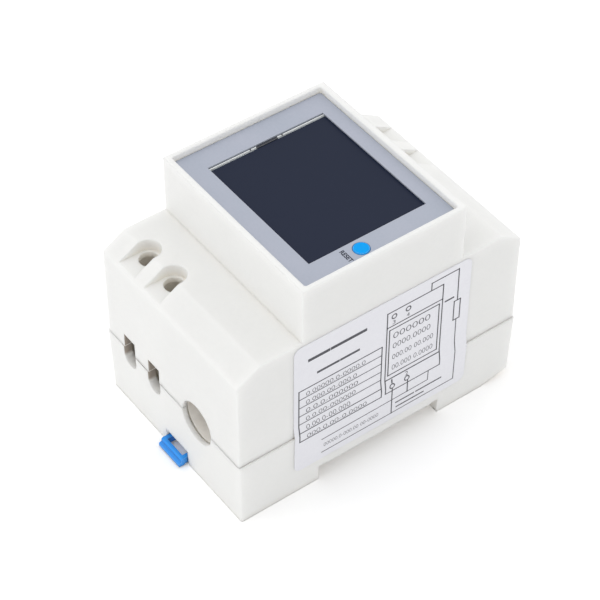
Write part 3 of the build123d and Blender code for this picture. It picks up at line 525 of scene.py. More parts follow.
@dataclass(frozen=True)
class PlatedMetal(Recipe):
    """A plated metal with handling marks and brighter edges.

    Attributes:
        colour: Its colour in the open.
        dull: Colour where the plating is dull.
        roughness: Its middle roughness.
        edge_radius: How far edges look rounded, in metres.
        edge_light: Share of the bright colour on edges.
        bright: That colour, scene-linear.
        mark_roughness: How much a handling mark adds to the roughness.
        mark_height: How high a mark stands in the skin, where negative is sunk.
        grain_depth: Height of the skin's relief, in metres.
    """

    colour: Colour
    dull: Colour
    roughness: float = 0.34
    edge_radius: float = 0.12 * MM
    edge_light: float = 0.5
    bright: tuple[float, float, float, float] = (0.95, 0.95, 0.93, 1.0)
    mark_roughness: float = 0.12
    mark_height: float = -0.6
    grain_depth: float = 0.004 * MM

    def fill(self, bench: Bench) -> None:
        """Adds the nodes of the metal.

        Args:
            bench: The material's bench.
        """
        grain = Effect.MOULD_GRAIN.on(bench, Size=0.16 * MM)["Height"]
        edge = Effect.SOFT_EDGE.on(bench, Radius=self.edge_radius)
        clouds = Effect.TONE_DRIFT.on(bench, Size=2.5 * MM)["Factor"]
        marks = Effect.FINE_SCRATCHES.on(bench)["Mask"]
        colour = bench.blend(clouds, self.colour.linear(), self.dull.linear())
        edge_lightening = bench.math("MULTIPLY", edge["Edge"], self.edge_light)
        base = bench.ramp(clouds, self.roughness - 0.06, self.roughness + 0.1)
        height = bench.math("MULTIPLY_ADD", marks, self.mark_height, grain)
        bench.surface({
            "Base Color": bench.blend(edge_lightening, colour, self.bright),
            "Roughness": bench.math("MULTIPLY_ADD", marks, self.mark_roughness, base),
            "Normal": bench.relief(height, self.grain_depth, edge["Normal"]),
            "Metallic": 1.0,
        })


@dataclass(frozen=True)
class DisplayFilm(Recipe):
    """The dark polarizer of a switched-off display.

    Attributes:
        colour: Its main colour.
        far_colour: Colour that the film shifts to towards +X.
        half_width: Half its width along X, in metres.
        roughness: Roughness of its satin face.
        uneven: How far the skin takes the roughness up and down from there.
    """

    colour: Colour
    far_colour: Colour
    half_width: float = 19 * MM
    roughness: float = 0.42
    uneven: float = 0.03

    def fill(self, bench: Bench) -> None:
        """Adds the nodes of the film.

        Args:
            bench: The material's bench.
        """
        clouds = Effect.TONE_DRIFT.on(bench, Size=30 * MM)["Factor"]
        grain = Effect.MOULD_GRAIN.on(bench, Size=0.12 * MM)["Height"]
        edge = Effect.SOFT_EDGE.on(bench, Radius=0.08 * MM)
        across_film = bench.span(bench.along("X"), -self.half_width, self.half_width)
        mottle = bench.weigh(clouds, across_film, share=0.4)
        rough, smooth = self.roughness + self.uneven, self.roughness - self.uneven
        bench.surface({
            "Base Color": bench.blend(mottle, self.colour.linear(), self.far_colour.linear()),
            "Roughness": bench.ramp(grain, rough, smooth),
            "Normal": bench.relief(grain, 0.001 * MM, edge["Normal"]),
            "Specular IOR Level": 0.2,
        })


@dataclass(frozen=True)
class ClearGlass(Recipe):
    """Thin display glass over a pale backing, pale at its ground edge, where a painted highlight also
    lightens it.

    Attributes:
        colour: Tint of the glass.
        edge_colour: Colour of its ground edge: partly its pale ground finish, partly a painted highlight.
        transmission: Share of light that goes through.
    """

    colour: Colour
    edge_colour: Colour
    transmission: float = 0.35

    def fill(self, bench: Bench) -> None:
        """Adds the nodes of the glass.

        Args:
            bench: The material's bench.
        """
        edge = Effect.SOFT_EDGE.on(bench, Radius=0.1 * MM)
        grain = Effect.MOULD_GRAIN.on(bench, Size=0.2 * MM)["Tone"]
        bench.surface({
            # Edges lean to the pale edge colour: partly ground glass, partly a painted highlight.
            "Base Color": bench.blend(edge["Edge"], self.colour.linear(), self.edge_colour.linear()),
            "Roughness": bench.ramp(grain, 0.05, 0.16),
            "Normal": edge["Normal"],
            "IOR": REFRACTION,
            "Transmission Weight": self.transmission,
        })


@dataclass(frozen=True)
class WoundWire(Recipe):
    """Enamelled wire wound in even turns round a ring.

    Attributes:
        colour: Colour on the crown of a turn.
        gap_shade_colour: Painted shade between two turns.
        centre: Centre of the ring in its own plane, X and Z in metres.
        turns: Turns in the full circle.
        wire_height: How far a turn stands out, in metres.
    """

    colour: Colour
    gap_shade_colour: Colour
    centre: Point
    turns: float = 150.0
    wire_height: float = 0.1 * MM

    def fill(self, bench: Bench) -> None:
        """Adds the nodes of the wire.

        Args:
            bench: The material's bench.
        """
        across = bench.math("SUBTRACT", bench.along("X"), self.centre[0])
        up = bench.math("SUBTRACT", bench.along("Z"), self.centre[1])
        angle = bench.math("MULTIPLY", bench.math("ARCTAN2", up, across), self.turns / 2)
        wave = bench.math("ABSOLUTE", bench.math("SINE", angle))
        clouds = Effect.TONE_DRIFT.on(bench, Size=3 * MM)["Factor"]
        # Painted shade: the gaps between turns are darker than the crowns.
        crown = bench.math("MULTIPLY", wave, bench.ramp(clouds, 0.8, 1.0))
        bench.surface({
            "Base Color": bench.blend(crown, self.gap_shade_colour.linear(), self.colour.linear()),
            "Roughness": bench.ramp(wave, 0.6, 0.3),
            "Normal": bench.relief(wave, self.wire_height),
        })


@dataclass(frozen=True)
class BoardLaminate(Recipe):
    """Circuit board with copper tracks showing through the solder resist.

    Attributes:
        colour: Resist over bare laminate.
        track_colour: Resist over copper.
        cloud_colour: Scene-linear colour that slow clouds lead to.
        cloud_share: Share of that colour in the clouds.
        field_size: Width of a field of tracks, in metres.
        track_rate: How close the tracks of a field lie.
        track_height: How far the copper lifts the resist, in metres.
    """

    colour: Colour
    track_colour: Colour
    cloud_colour: tuple[float, float, float, float] = (0.0, 0.02, 0.01, 1.0)
    cloud_share: float = 0.25
    field_size: float = 2.2 * MM
    track_rate: float = 26.0
    track_height: float = 0.03 * MM

    def fill(self, bench: Bench) -> None:
        """Adds the nodes of the board.

        Args:
            bench: The material's bench.
        """
        feeds = {"Vector": bench.scaled(self.field_size)}
        fields = bench.add("ShaderNodeTexVoronoi", feeds, feature="F1", distance="CHEBYCHEV")
        wave = bench.math("SINE", bench.math("MULTIPLY", fields.outputs["Distance"], self.track_rate))
        track = bench.span(wave, 0.1, 0.3)
        clouds = Effect.TONE_DRIFT.on(bench, Size=8 * MM)["Factor"]
        edge = Effect.SOFT_EDGE.on(bench, Radius=0.1 * MM)
        colour = bench.blend(track, self.colour.linear(), self.track_colour.linear())
        drift = bench.math("MULTIPLY", clouds, self.cloud_share)
        bench.surface({
            "Base Color": bench.blend(drift, colour, self.cloud_colour),
            "Roughness": bench.ramp(track, 0.42, 0.3),
            "Normal": bench.relief(track, self.track_height, edge["Normal"]),
        })


@dataclass(frozen=True)
class LabelFilm(Recipe):
    """Satin label film with a faint fibre and a cut edge.

    Attributes:
        colour: Colour of the film.
        fibre_colour: Colour of its faint fibre.
    """

    colour: Colour
    fibre_colour: Colour

    def fill(self, bench: Bench) -> None:
        """Adds the nodes of the film.

        Args:
            bench: The material's bench.
        """
        grain = Effect.MOULD_GRAIN.on(bench, Size=0.22 * MM)
        clouds = Effect.TONE_DRIFT.on(bench, Size=16 * MM)["Factor"]
        edge = Effect.SOFT_EDGE.on(bench, Radius=0.08 * MM)
        mottle = bench.weigh(grain["Tone"], clouds, share=0.5)
        bench.surface({
            "Base Color": bench.blend(mottle, self.colour.linear(), self.fibre_colour.linear()),
            "Roughness": bench.ramp(grain["Height"], 0.52, 0.42),
            "Normal": bench.relief(grain["Height"], 0.003 * MM, edge["Normal"]),
            "Specular IOR Level": 0.4,
        })


@dataclass(frozen=True)
class PrintInk(Recipe):
    """Thin ink, a little uneven where it was rolled on.

    Attributes:
        colour: Full ink.
        thin_colour: Ink where it lies thin.
    """

    colour: Colour
    thin_colour: Colour

    def fill(self, bench: Bench) -> None:
        """Adds the nodes of the ink.

        Args:
            bench: The material's bench.
        """
        grain = Effect.MOULD_GRAIN.on(bench, Size=0.1 * MM)
        clouds = Effect.TONE_DRIFT.on(bench, Size=5 * MM)["Factor"]
        thin = bench.math("MULTIPLY", grain["Tone"], clouds)
        bench.surface({
            "Base Color": bench.blend(thin, self.colour.linear(), self.thin_colour.linear()),
            "Roughness": bench.ramp(grain["Height"], 0.62, 0.5),
            "Specular IOR Level": 0.3,
        })


@dataclass(frozen=True)
class StudioFloor(Recipe):
    """A floor that looks white to the camera and keeps the meter's shadow.

    Attributes:
        colour: The floor as the meter sees it.
        glow: Strength of the light that lifts it to white for the camera.
    """

    colour: Colour
    glow: float = 0.12

    def fill(self, bench: Bench) -> None:
        """Adds the nodes of the floor.

        Args:
            bench: The material's bench.
        """
        lit = bench.add("ShaderNodeBsdfDiffuse", {"Color": self.colour.linear()})
        seen = bench.add("ShaderNodeBsdfDiffuse", {"Color": WHITE})
        glow = bench.add("ShaderNodeEmission", {"Color": WHITE, "Strength": self.glow})
        bright = bench.add("ShaderNodeAddShader", {0: seen.outputs[0], 1: glow.outputs[0]})
        mixed = bench.as_seen(lit.outputs[0], bright.outputs[0])
        bench.add("ShaderNodeOutputMaterial", {"Surface": mixed})


class Finish(Enum):
    """Every finish of the meter, under the name that its material gets."""

    HOUSING = MouldedPlastic(
        Colour(240, 240, 238), Colour(236, 236, 234), shade=0.98, depth=Colour(255, 246, 232),
        bay=PaintedBayShade(Colour(176, 166, 156), Colour(234, 229, 220)), edge_radius=0.5 * MM, milkiness=0.6,
    )
    PANEL = MouldedPlastic(
        Colour(168, 175, 189), Colour(178, 182, 196), shade=0.96, roughness=0.45, grain_size=0.2 * MM,
        grain_depth=0.006 * MM, edge_light=0.35,
    )
    BUTTON = MouldedPlastic(
        Colour(0, 164, 247), Colour(0, 156, 239), shade=0.8, roughness=0.45, grain_size=0.2 * MM,
        grain_depth=0.004 * MM, edge_light=0.6, specular=0.1,
    )
    CLIP = MouldedPlastic(
        Colour(48, 156, 246), Colour(42, 146, 238), shade=0.45, roughness=0.36, grain_size=0.25 * MM,
        grain_depth=0.006 * MM, edge_light=0.25,
    )
    TUBE = MouldedPlastic(
        Colour(255, 253, 248), Colour(253, 250, 244), shade=0.98, roughness=0.45,
        high_shade_colour=Colour(190, 176, 160),
    )
    INNER_WHITE = MouldedPlastic(Colour(232, 232, 232), Colour(226, 226, 226), shade=0.7)
    LIGHT_GUIDE = MouldedPlastic(
        Colour(232, 237, 240), Colour(226, 232, 236), roughness=0.2, grain_depth=0.003 * MM,
    )
    STRIP = MouldedPlastic(Colour(206, 146, 146), Colour(190, 128, 130), roughness=0.7)
    BLACK = MouldedPlastic(Colour(40, 40, 42), Colour(32, 32, 34), roughness=0.48, edge_light=0.1)
    CAPACITOR = MouldedPlastic(
        Colour(205, 172, 52), Colour(196, 160, 44), roughness=0.3, grain_depth=0.004 * MM,
    )
    VARISTOR = MouldedPlastic(
        Colour(38, 72, 142), Colour(30, 62, 130), roughness=0.34, grain_size=0.6 * MM,
        grain_depth=0.02 * MM, edge_light=0.08,
    )
    RESISTOR = MouldedPlastic(
        Colour(118, 152, 134), Colour(108, 140, 124), roughness=0.4, grain_size=0.5 * MM,
        grain_depth=0.02 * MM, edge_light=0.08,
    )
    CORE = MouldedPlastic(Colour(66, 66, 70), Colour(54, 54, 58), roughness=0.55, grain_size=0.2 * MM)
    SCREW = PlatedMetal(Colour(196, 194, 186), Colour(164, 160, 148))
    CAGE = PlatedMetal(Colour(190, 190, 186), Colour(150, 150, 146), roughness=0.4)
    CONTACT = PlatedMetal(Colour(212, 196, 150), Colour(178, 156, 104))
    CAN = PlatedMetal(Colour(200, 202, 206), Colour(180, 182, 188), roughness=0.3)
    FILM = DisplayFilm(Colour(16, 27, 50), Colour(22, 31, 54))
    GLASS = ClearGlass(Colour(214, 220, 222), Colour(246, 248, 248))
    # Near-white ground edge: partly pale ground glass, partly a painted highlight along the window's
    # edge.
    GLASS_EDGE = ClearGlass(Colour(244, 247, 248), Colour(252, 253, 253), transmission=0.06)
    RESIN = MouldedPlastic(
        Colour(62, 64, 72), Colour(46, 48, 56), shade=0.5, roughness=0.3, edge_light=0.3,
    )
    WINDING = WoundWire(Colour(190, 112, 62), Colour(92, 46, 24), (9.9 * MM, 14.9 * MM))
    BOARD = BoardLaminate(Colour(22, 84, 52), Colour(38, 116, 70))
    LABEL = LabelFilm(Colour(237, 237, 242), Colour(231, 231, 237))
    LABEL_INK = PrintInk(Colour(74, 74, 80), Colour(104, 104, 110))
    PANEL_INK = PrintInk(Colour(20, 24, 42), Colour(40, 44, 64))

    @property
    def material(self) -> bpy.types.Material:
        """The finish's material, built the first time it is asked for."""
        name = self.name.lower()
        return bpy.data.materials.get(name) or self.value.material(name)


def dress(finishes: Mapping[str, Finish]) -> list[str]:
    """Gives CAD nodes their finishes.

    Args:
        finishes: What each node is finished with, by the node's name.

    Returns:
        A line for each node.
    """
    for node, finish in finishes.items():
        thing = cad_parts[node]
        if not thing.material_slots:
            thing.data.materials.append(finish.material)
        for slot in thing.material_slots:
            slot.material = finish.material
    return [f"{node}: {finish.name.lower()}" for node, finish in finishes.items()]


def add_piece(name: str, shape: bmesh.types.BMesh, finish: Finish, body: str) -> str:
    """Turns a shape into a piece that moves with a CAD body.

    Args:
        name: The piece's name.
        shape: Its shape in metres, which is used up.
        finish: What it is made of.
        body: The CAD body.

    Returns:
        A line that says what was made.
    """
    mesh = bpy.data.meshes.new(name)
    shape.to_mesh(mesh)
    shape.free()
    mesh.materials.append(finish.material)
    piece = bpy.data.objects.new(name, mesh)
    bpy.context.scene.collection.objects.link(piece)
    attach(piece, body)
    return f"{name}: {len(mesh.polygons)} faces"


@dataclass
class Print:
    """Flat printed shapes that follow one face of the meter.

    Attributes:
        face: Gives the point on the face, in metres, for a place on the print in millimetres.
        step: Longest run of a shape between two points on the face, in millimetres.
        shapes: The printed shapes so far.
    """

    face: Callable[[float, float], Vector]
    step: float = 0.25
    shapes: bmesh.types.BMesh = field(default_factory=bmesh.new)

    def line(self, points: Sequence[Point], width: float) -> None:
        """Draws a line.

        Args:
            points: The points that it goes through.
            width: Its width, in millimetres.
        """
        for start, end in zip(points, points[1:]):
            along = Vector(end) - Vector(start)
            unit = along.normalized()
            side = Vector((-unit.y, unit.x)) * width / 2
            first = Vector(start) - unit * width / 2
            length = along.length + width
            steps = max(1, math.ceil(length / self.step))
            rows = []
            for index in range(steps + 1):
                middle = first + unit * length * index / steps
                rows.append((self._spot(*(middle + side)), self._spot(*(middle - side))))
            self._ribbon(rows)

    def frame(self, corners: Rectangle, width: float) -> None:
        """Draws the outline of a rectangle between its lower left and upper right corners."""
        low, high = corners
        self.line([low, (high[0], low[1]), high, (low[0], high[1]), low], width)

    def ring(self, centre: Point, radius: float, width: float, sides: int = 28) -> None:
        """Draws a round outline.

        Args:
            centre: Its centre.
            radius: Radius of the middle of the line.
            width: Width of the line.
            sides: How many straight runs make up the circle.
        """
        rows = []
        for index in range(sides):
            angle = 2 * math.pi * index / sides
            ray = Vector((math.cos(angle), math.sin(angle)))
            inner = Vector(centre) + ray * (radius - width / 2)
            outer = Vector(centre) + ray * (radius + width / 2)
            rows.append((self._spot(*inner), self._spot(*outer)))
        self._ribbon(rows + rows[:1])

    def words(self, text: str, corners: Rectangle, weight: float = 0.0) -> None:
        """Draws plain characters that fill a rectangle.

        Args:
            text: The characters.
            corners: Lower left and upper right corners of the rectangle.
            weight: How much the strokes are thickened, as a share of the type size.
        """
        curve = bpy.data.curves.new("characters", "FONT")
        curve.body = text
        curve.offset = weight
        carrier = bpy.data.objects.new("characters", curve)
        bpy.context.scene.collection.objects.link(carrier)
        bpy.context.view_layer.update()
        graph = bpy.context.evaluated_depsgraph_get()
        flat = bpy.data.meshes.new_from_object(carrier.evaluated_get(graph))
        low, high = corners
        xs = [vertex.co.x for vertex in flat.vertices]
        ys = [vertex.co.y for vertex in flat.vertices]
        spots = []
        for x, y in zip(xs, ys):
            across = low[0] + (x - min(xs)) / (max(xs) - min(xs)) * (high[0] - low[0])
            up = low[1] + (y - min(ys)) / (max(ys) - min(ys)) * (high[1] - low[1])
            spots.append(self._spot(across, up))
        for polygon in flat.polygons:
            self.shapes.faces.new([spots[index] for index in polygon.vertices])
        bpy.data.meshes.remove(flat)
        bpy.data.objects.remove(carrier)
        bpy.data.curves.remove(curve)

    def _spot(self, across: float, up: float) -> bmesh.types.BMVert:
        """Returns a new vertex at a place on the print."""
        return self.shapes.verts.new(self.face(across, up))

    def _ribbon(self, rows: Sequence[tuple[bmesh.types.BMVert, bmesh.types.BMVert]]) -> None:
        """Fills the strip from each pair of vertices to the next."""
        for low, high in zip(rows, rows[1:]):
            self.shapes.faces.new((low[0], low[1], high[1], high[0]))


@dataclass
class Housing:
    """The moulded base and cover, with the tube that lines the through hole."""

    def make(self) -> list[str]:
        """Dresses the halves of the housing and returns what was done."""
        return dress({
            "base_housing": Finish.HOUSING,
            "top_cover": Finish.HOUSING,
            "ct_tube": Finish.TUBE,
        })


@dataclass
class FrontPanel:
    """The plate in the rim, with the reset button and its word.

    Attributes:
        word: The word beside the button.
        word_corners: Its lower left and upper right corners, X and Y in millimetres.
        word_weight: How much its strokes are thickened, as a share of the type size.
        ink_height: Height of the ink over the panel, in millimetres.
        body: CAD body that the word moves with.
    """

    word: str = "RESET"
    word_corners: Rectangle = ((20.0, -7.95), (23.9, -6.75))
    word_weight: float = 0.03
    ink_height: float = 0.006
    body: str = "housing"

    def make(self) -> list[str]:
        """Dresses the panel and the button and prints the word.

        Returns:
            A line for each piece.
        """
        done = dress({
            "front_panel": Finish.PANEL,
            "reset_button": Finish.BUTTON,
            "switch_plunger": Finish.BLACK,
        })
        return [*done, self._reset_word()]

    def _reset_word(self) -> str:
        """Prints the plain word that tells what the button does.

        Returns:
            A line that says what was made.
        """
        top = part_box("front_panel")[1].z + self.ink_height * MM
        ink = Print(lambda x, y: Vector((x * MM, y * MM, top)))
        ink.words(self.word, self.word_corners, self.word_weight)
        return add_piece("reset_word", ink.shapes, Finish.PANEL_INK, self.body)


@dataclass
class Display:
    """The display cell under the panel's window, with what carries and lights it.

    Attributes:
        edge_x: Where the glass's ground edge lies beside the film, low and high, in millimetres.
        edge_runs: Where the ground edge runs on each side of the filling port, as Y in millimetres.
        port_x: The same as edge_x for the drop that closes the filling port.
        port_run: Where that drop runs, as Y in millimetres.
        under: How far both hang below the glass's face, in millimetres.
        rise: How far both stand over it, in millimetres.
        bevel: Width of their bevels, in millimetres.
        body: CAD body that both move with.
    """

    edge_x: Point = (-18.9, -18.62)
    edge_runs: tuple[Point, ...] = ((-15.4, -4.0), (-3.65, -2.2), (3.7, 4.9), (5.3, 17.0))
    port_x: Point = (-18.96, -18.3)
    port_run: Point = (-2.1, 3.6)
    under: float = 0.25
    rise: float = 0.4
    bevel: float = 0.05
    body: str = "housing"

    def make(self) -> list[str]:
        """Dresses the cell and its carriers and adds the ground edge and the drop.

        Returns:
            A line for each piece.
        """
        done = dress({
            "lcd_polarizer": Finish.FILM,
            "lcd_glass": Finish.GLASS,
            "lcd_frame": Finish.INNER_WHITE,
            "backlight_guide": Finish.LIGHT_GUIDE,
            "contact_strip": Finish.STRIP,
        })
        # The near-white edge bars are partly the pale ground glass and partly a painted highlight line.
        for index, run in enumerate(self.edge_runs, 1):
            done.append(self._bar(f"glass_edge_{index}", self.edge_x, run, Finish.GLASS_EDGE))
        return [*done, self._bar("filling_drop", self.port_x, self.port_run, Finish.RESIN)]

    def _bar(self, name: str, across: Point, run: Point, finish: Finish) -> str:
        """Makes a bar with a bevelled top along the glass's -X edge.

        Args:
            name: The piece's name.
            across: X of its two sides, in millimetres.
            run: Y of its two ends, in millimetres.
            finish: What it is made of.

        Returns:
            A line that says what was made.
        """
        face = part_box("lcd_glass")[1].z
        levels = ((-self.under, 0.0), (self.rise - self.bevel, 0.0), (self.rise, self.bevel))
        shape = bmesh.new()
        rings = []
        for rise, inset in levels:
            xs = (across[0] + inset, across[1] - inset)
            ys = (run[0] + inset, run[1] - inset)
            corners = ((xs[0], ys[0]), (xs[1], ys[0]), (xs[1], ys[1]), (xs[0], ys[1]))
            rings.append([shape.verts.new((x * MM, y * MM, face + rise * MM)) for x, y in corners])
        shape.faces.new(rings[0][::-1])
        shape.faces.new(rings[-1])
        for lower, upper in zip(rings, rings[1:]):
            for index, corner in enumerate(lower):
                after = (index + 1) % len(lower)
                shape.faces.new((corner, lower[after], upper[after], upper[index]))
        return add_piece(name, shape, finish, self.body)


@dataclass
class SideLabel:
    """The label on the +X side, with its wiring picture and ruled table.

    Places on the label are Y and Z of the part, in millimetres. Corners are the lower left one and the
    upper right one.

    Attributes:
        cover_x: Where the cover's side lies.
        ledge_x: Where the base stands out at the parting line.
        bend_z: Height where the label leaves the cover to go over the ledge.
        parting_z: Height of the parting line.
        base_slope: How far the base leans in for each millimetre down.
        film: Thickness of the label.
        ink: Height of the ink over the film.
        fine: Width of the thin lines.
        medium: Width of the stronger lines.
        meter_corners: Corners of the pictured meter.
        strip_levels: Lines that set off its terminal strips.
        window_corners: Corners of its display.
        terminals: Centres of its terminals.
        terminal_radius: Their radius.
        load_corners: Corners of the pictured load.
        leads: Stronger wires of the picture.
        supply: Its thin supply wires.
        table_corners: Corners of the table.
        table_rows: How many rows it has.
        bars: Plain bars for headings and notes, each as start, end, level and height.
        numbers: Number of each terminal, with its centre and half its width.
        number_half: Half the height of those numbers.
        lines_start: Where the lines of the pictured display start.
        lines: Their characters, each with its end, foot and height.
        rows: Characters of the table's rows from the lowest up, each with its length.
        row_indent: How far they start from the table's side.
        row_foot: How far they stand over the row's lower line.
        figure_height: Their height.
        note: Characters of the low line.
        note_corners: Its corners.
        thinning: How much strokes of the small characters are thinned, as a share of the type size.
        body: CAD body that the print moves with.
    """

    cover_x: float = 26.55
    ledge_x: float = 27.0
    bend_z: float = 17.9
    parting_z: float = 14.9
    base_slope: float = 0.4 / 19.2
    film: float = 0.15
    ink: float = 0.008
    fine: float = 0.26
    medium: float = 0.32
    meter_corners: Rectangle = ((1.0, 13.3), (17.0, 39.5))
    strip_levels: tuple[float, ...] = (34.8, 17.4)
    window_corners: Rectangle = ((1.8, 18.7), (16.1, 33.7))
    terminals: tuple[Point, ...] = ((2.95, 37.75), (6.96, 37.8), (2.94, 14.9), (7.24, 14.9))
    terminal_radius: float = 0.66
    load_corners: Rectangle = ((20.6, 25.6), (22.4, 31.8))
    leads: tuple[tuple[Point, ...], ...] = (
        ((13.5, 39.7), (13.5, 41.85), (21.4, 41.9), (21.5, 31.8)),
        ((7.5, 14.2), (7.6, 10.0)),
        ((3.0, 14.2), (3.15, 5.2)),
    )
    supply: tuple[tuple[Point, ...], ...] = (
        ((21.5, 25.6), (21.7, 5.3), (-17.1, 5.2)),
        ((13.7, 13.2), (13.65, 10.1), (-17.17, 9.8)),
    )
    table_corners: Rectangle = ((-23.5, 13.1), (-0.2, 29.6))
    table_rows: int = 6
    bars: tuple[tuple[float, float, float, float], ...] = (
        (-20.6, -15.4, 38.3, 0.9),
        (-14.4, -5.2, 38.3, 0.9),
        (-18.2, -12.6, 33.0, 0.7),
        (-11.8, -7.0, 33.0, 0.7),
        (4.4, 9.6, 8.2, 0.42),
        (10.4, 17.8, 8.2, 0.42),
        (4.6, 12.6, 6.6, 0.42),
        (17.9, 20.2, 33.4, 0.5),
    )
    numbers: tuple[tuple[str, Point, float], ...] = (
        ("3", (2.95, 35.9), 0.42),
        ("4", (6.96, 35.9), 0.42),
        ("1", (2.94, 16.4), 0.2),
        ("2", (7.24, 16.4), 0.42),
    )
    number_half: float = 0.6
    lines_start: float = 2.9
    lines: tuple[tuple[str, float, float, float], ...] = (
        ("000000", 13.6, 30.4, 1.8),
        ("0000.0000", 13.8, 27.1, 1.7),
        ("000.00 00.000", 14.8, 23.5, 1.6),
        ("00.000 0.0000", 14.8, 20.0, 1.6),
    )
    rows: tuple[tuple[str, float], ...] = (
        ("000.0.00-0.0000", 17.0),
        ("0.00.0-00.000", 12.4),
        ("0.0.00-000000", 14.0),
        ("0.0.0-000000", 14.6),
        ("0.000.00-000.0", 14.2),
        ("0.00000.0-0000.0", 16.6),
    )
    row_indent: float = 2.0
    row_foot: float = 0.32
    figure_height: float = 1.3
    note: str = "00000.0-000.00 00-0000"
    note_corners: Rectangle = ((-16.6, 6.9), (-0.8, 8.1))
    thinning: float = -0.012
    body: str = "housing"

    def make(self) -> list[str]:
        """Dresses the film and prints on it.

        Returns:
            A line for each piece.
        """
        done = dress({"rating_label": Finish.LABEL})
        prints = {
            "label_wiring": self._wiring_picture,
            "label_table": self._table,
            "label_figures": self._figures,
        }
        for name, draw in prints.items():
            ink = Print(self._face)
            draw(ink)
            done.append(add_piece(name, ink.shapes, Finish.LABEL_INK, self.body))
        return done

    def _face(self, y: float, z: float) -> Vector:
        """Finds the point just over the film at a place on the label.

        Args:
            y: Place along the label.
            z: Its height.

        Returns:
            The point, in metres.
        """
        if z > self.bend_z:
            x = self.cover_x
        elif z > self.parting_z:
            share = (z - self.parting_z) / (self.bend_z - self.parting_z)
            x = self.ledge_x + (self.cover_x - self.ledge_x) * share
        else:
            x = self.ledge_x - self.base_slope * (self.parting_z - z)
        return Vector(((x + self.film + self.ink) * MM, y * MM, z * MM))

    def _wiring_picture(self, ink: Print) -> None:
        """Draws the meter's outline with its terminals, load and supply wires.

        Args:
            ink: The print that takes the picture.
        """
        for corners in (self.meter_corners, self.window_corners, self.load_corners):
            ink.frame(corners, self.medium)
        low, high = self.meter_corners
        for level in self.strip_levels:
            ink.line([(low[0], level), (high[0], level)], self.medium)
        for centre in self.terminals:
            ink.ring(centre, self.terminal_radius, self.medium)
        for lead in self.leads:
            ink.line(lead, self.medium)
        for wire in self.supply:
            ink.line(wire, self.fine)

    def _table(self, ink: Print) -> None:
        """Draws the ruled table, and bars where a label has its headings and notes.

        Args:
            ink: The print that takes the table.
        """
        ink.frame(self.table_corners, self.medium)
        low, high = self.table_corners
        for row in range(1, self.table_rows):
            level = low[1] + row * self._row_pitch()
            ink.line([(low[0], level), (high[0], level)], self.fine)
        for start, end, level, height in self.bars:
            ink.line([(start, level), (end, level)], height)

    def _figures(self, ink: Print) -> None:
        """Draws the terminals' plain numbers, and zeros in the pictured display and the table.

        Args:
            ink: The print that takes the characters.
        """
        for figure, (y, z), half in self.numbers:
            ink.words(figure, ((y - half, z - self.number_half), (y + half, z + self.number_half)))
        for text, end, foot, height in self.lines:
            ink.words(text, ((self.lines_start, foot), (end, foot + height)), self.thinning)
        side, bottom = self.table_corners[0]
        start = side + self.row_indent
        for row, (text, length) in enumerate(self.rows):
            foot = bottom + row * self._row_pitch() + self.row_foot
            ink.words(text, ((start, foot), (start + length, foot + self.figure_height)), self.thinning)
        ink.words(self.note, self.note_corners, self.thinning)

    def _row_pitch(self) -> float:
        """Returns the height of a row of the table."""
        return (self.table_corners[1][1] - self.table_corners[0][1]) / self.table_rows


@dataclass
class RailClip:
    """The blue clip that holds the meter on the rail."""

    def make(self) -> list[str]:
        """Dresses the clip and returns what was done."""
        return dress({"din_clip": Finish.CLIP})


@dataclass
class TerminalClamp:
    """One rising-cage clamp.

    Attributes:
        number: Number of the terminal, from 1.
    """

    number: int

    def make(self) -> list[str]:
        """Dresses the screw, cage and contact and returns what was done."""
        finishes = {"screw": Finish.SCREW, "cage": Finish.CAGE, "contact": Finish.CONTACT}
        return dress({f"terminal_{kind}_{self.number}": finish for kind, finish in finishes.items()})


@dataclass
class CurrentTransformer:
    """The ring core and its winding round the through hole."""

    def make(self) -> list[str]:
        """Dresses the core and the winding and returns what was done."""
        return dress({"ct_core": Finish.CORE, "ct_winding": Finish.WINDING})


@dataclass
class Boards:
    """The two circuit boards, what stands on them and what fastens them."""

    def make(self) -> list[str]:
        """Dresses the boards and their parts and returns what was done."""
        return dress({
            "main_board": Finish.BOARD,
            "display_board": Finish.BOARD,
            "board_screws": Finish.SCREW,
            "display_screws": Finish.SCREW,
            "dropper_capacitor": Finish.CAPACITOR,
            "filter_capacitor": Finish.CAN,
            "varistor": Finish.VARISTOR,
            "fuse_resistor": Finish.RESISTOR,
            "metering_chip": Finish.BLACK,
            "display_driver_chip": Finish.BLACK,
            "board_header": Finish.BLACK,
            "header_socket": Finish.BLACK,
            "reset_switch": Finish.BLACK,
        })


@dataclass
class Lamp:
    """A soft square lamp aimed at the meter.

    Attributes:
        name: The lamp's name.
        place: Where it hangs, in metres.
        size: Side of its square face, in metres.
        power: Its power in watts.
    """

    name: str
    place: tuple[float, float, float]
    size: float
    power: float

    def make(self, target: Vector) -> str:
        """Hangs the lamp.

        Args:
            target: The point that it is aimed at, in metres.

        Returns:
            A line that says what was made.
        """
        light = bpy.data.lights.new(self.name, "AREA")
        light.shape = "SQUARE"
        light.size = self.size
        light.energy = self.power
        lamp = bpy.data.objects.new(self.name, light)
        lamp.location = self.place
        lamp.rotation_euler = (Vector(self.place) - target).to_track_quat("Z", "Y").to_euler()
        bpy.context.scene.collection.objects.link(lamp)
        return f"{self.name}: {self.power:g} W"


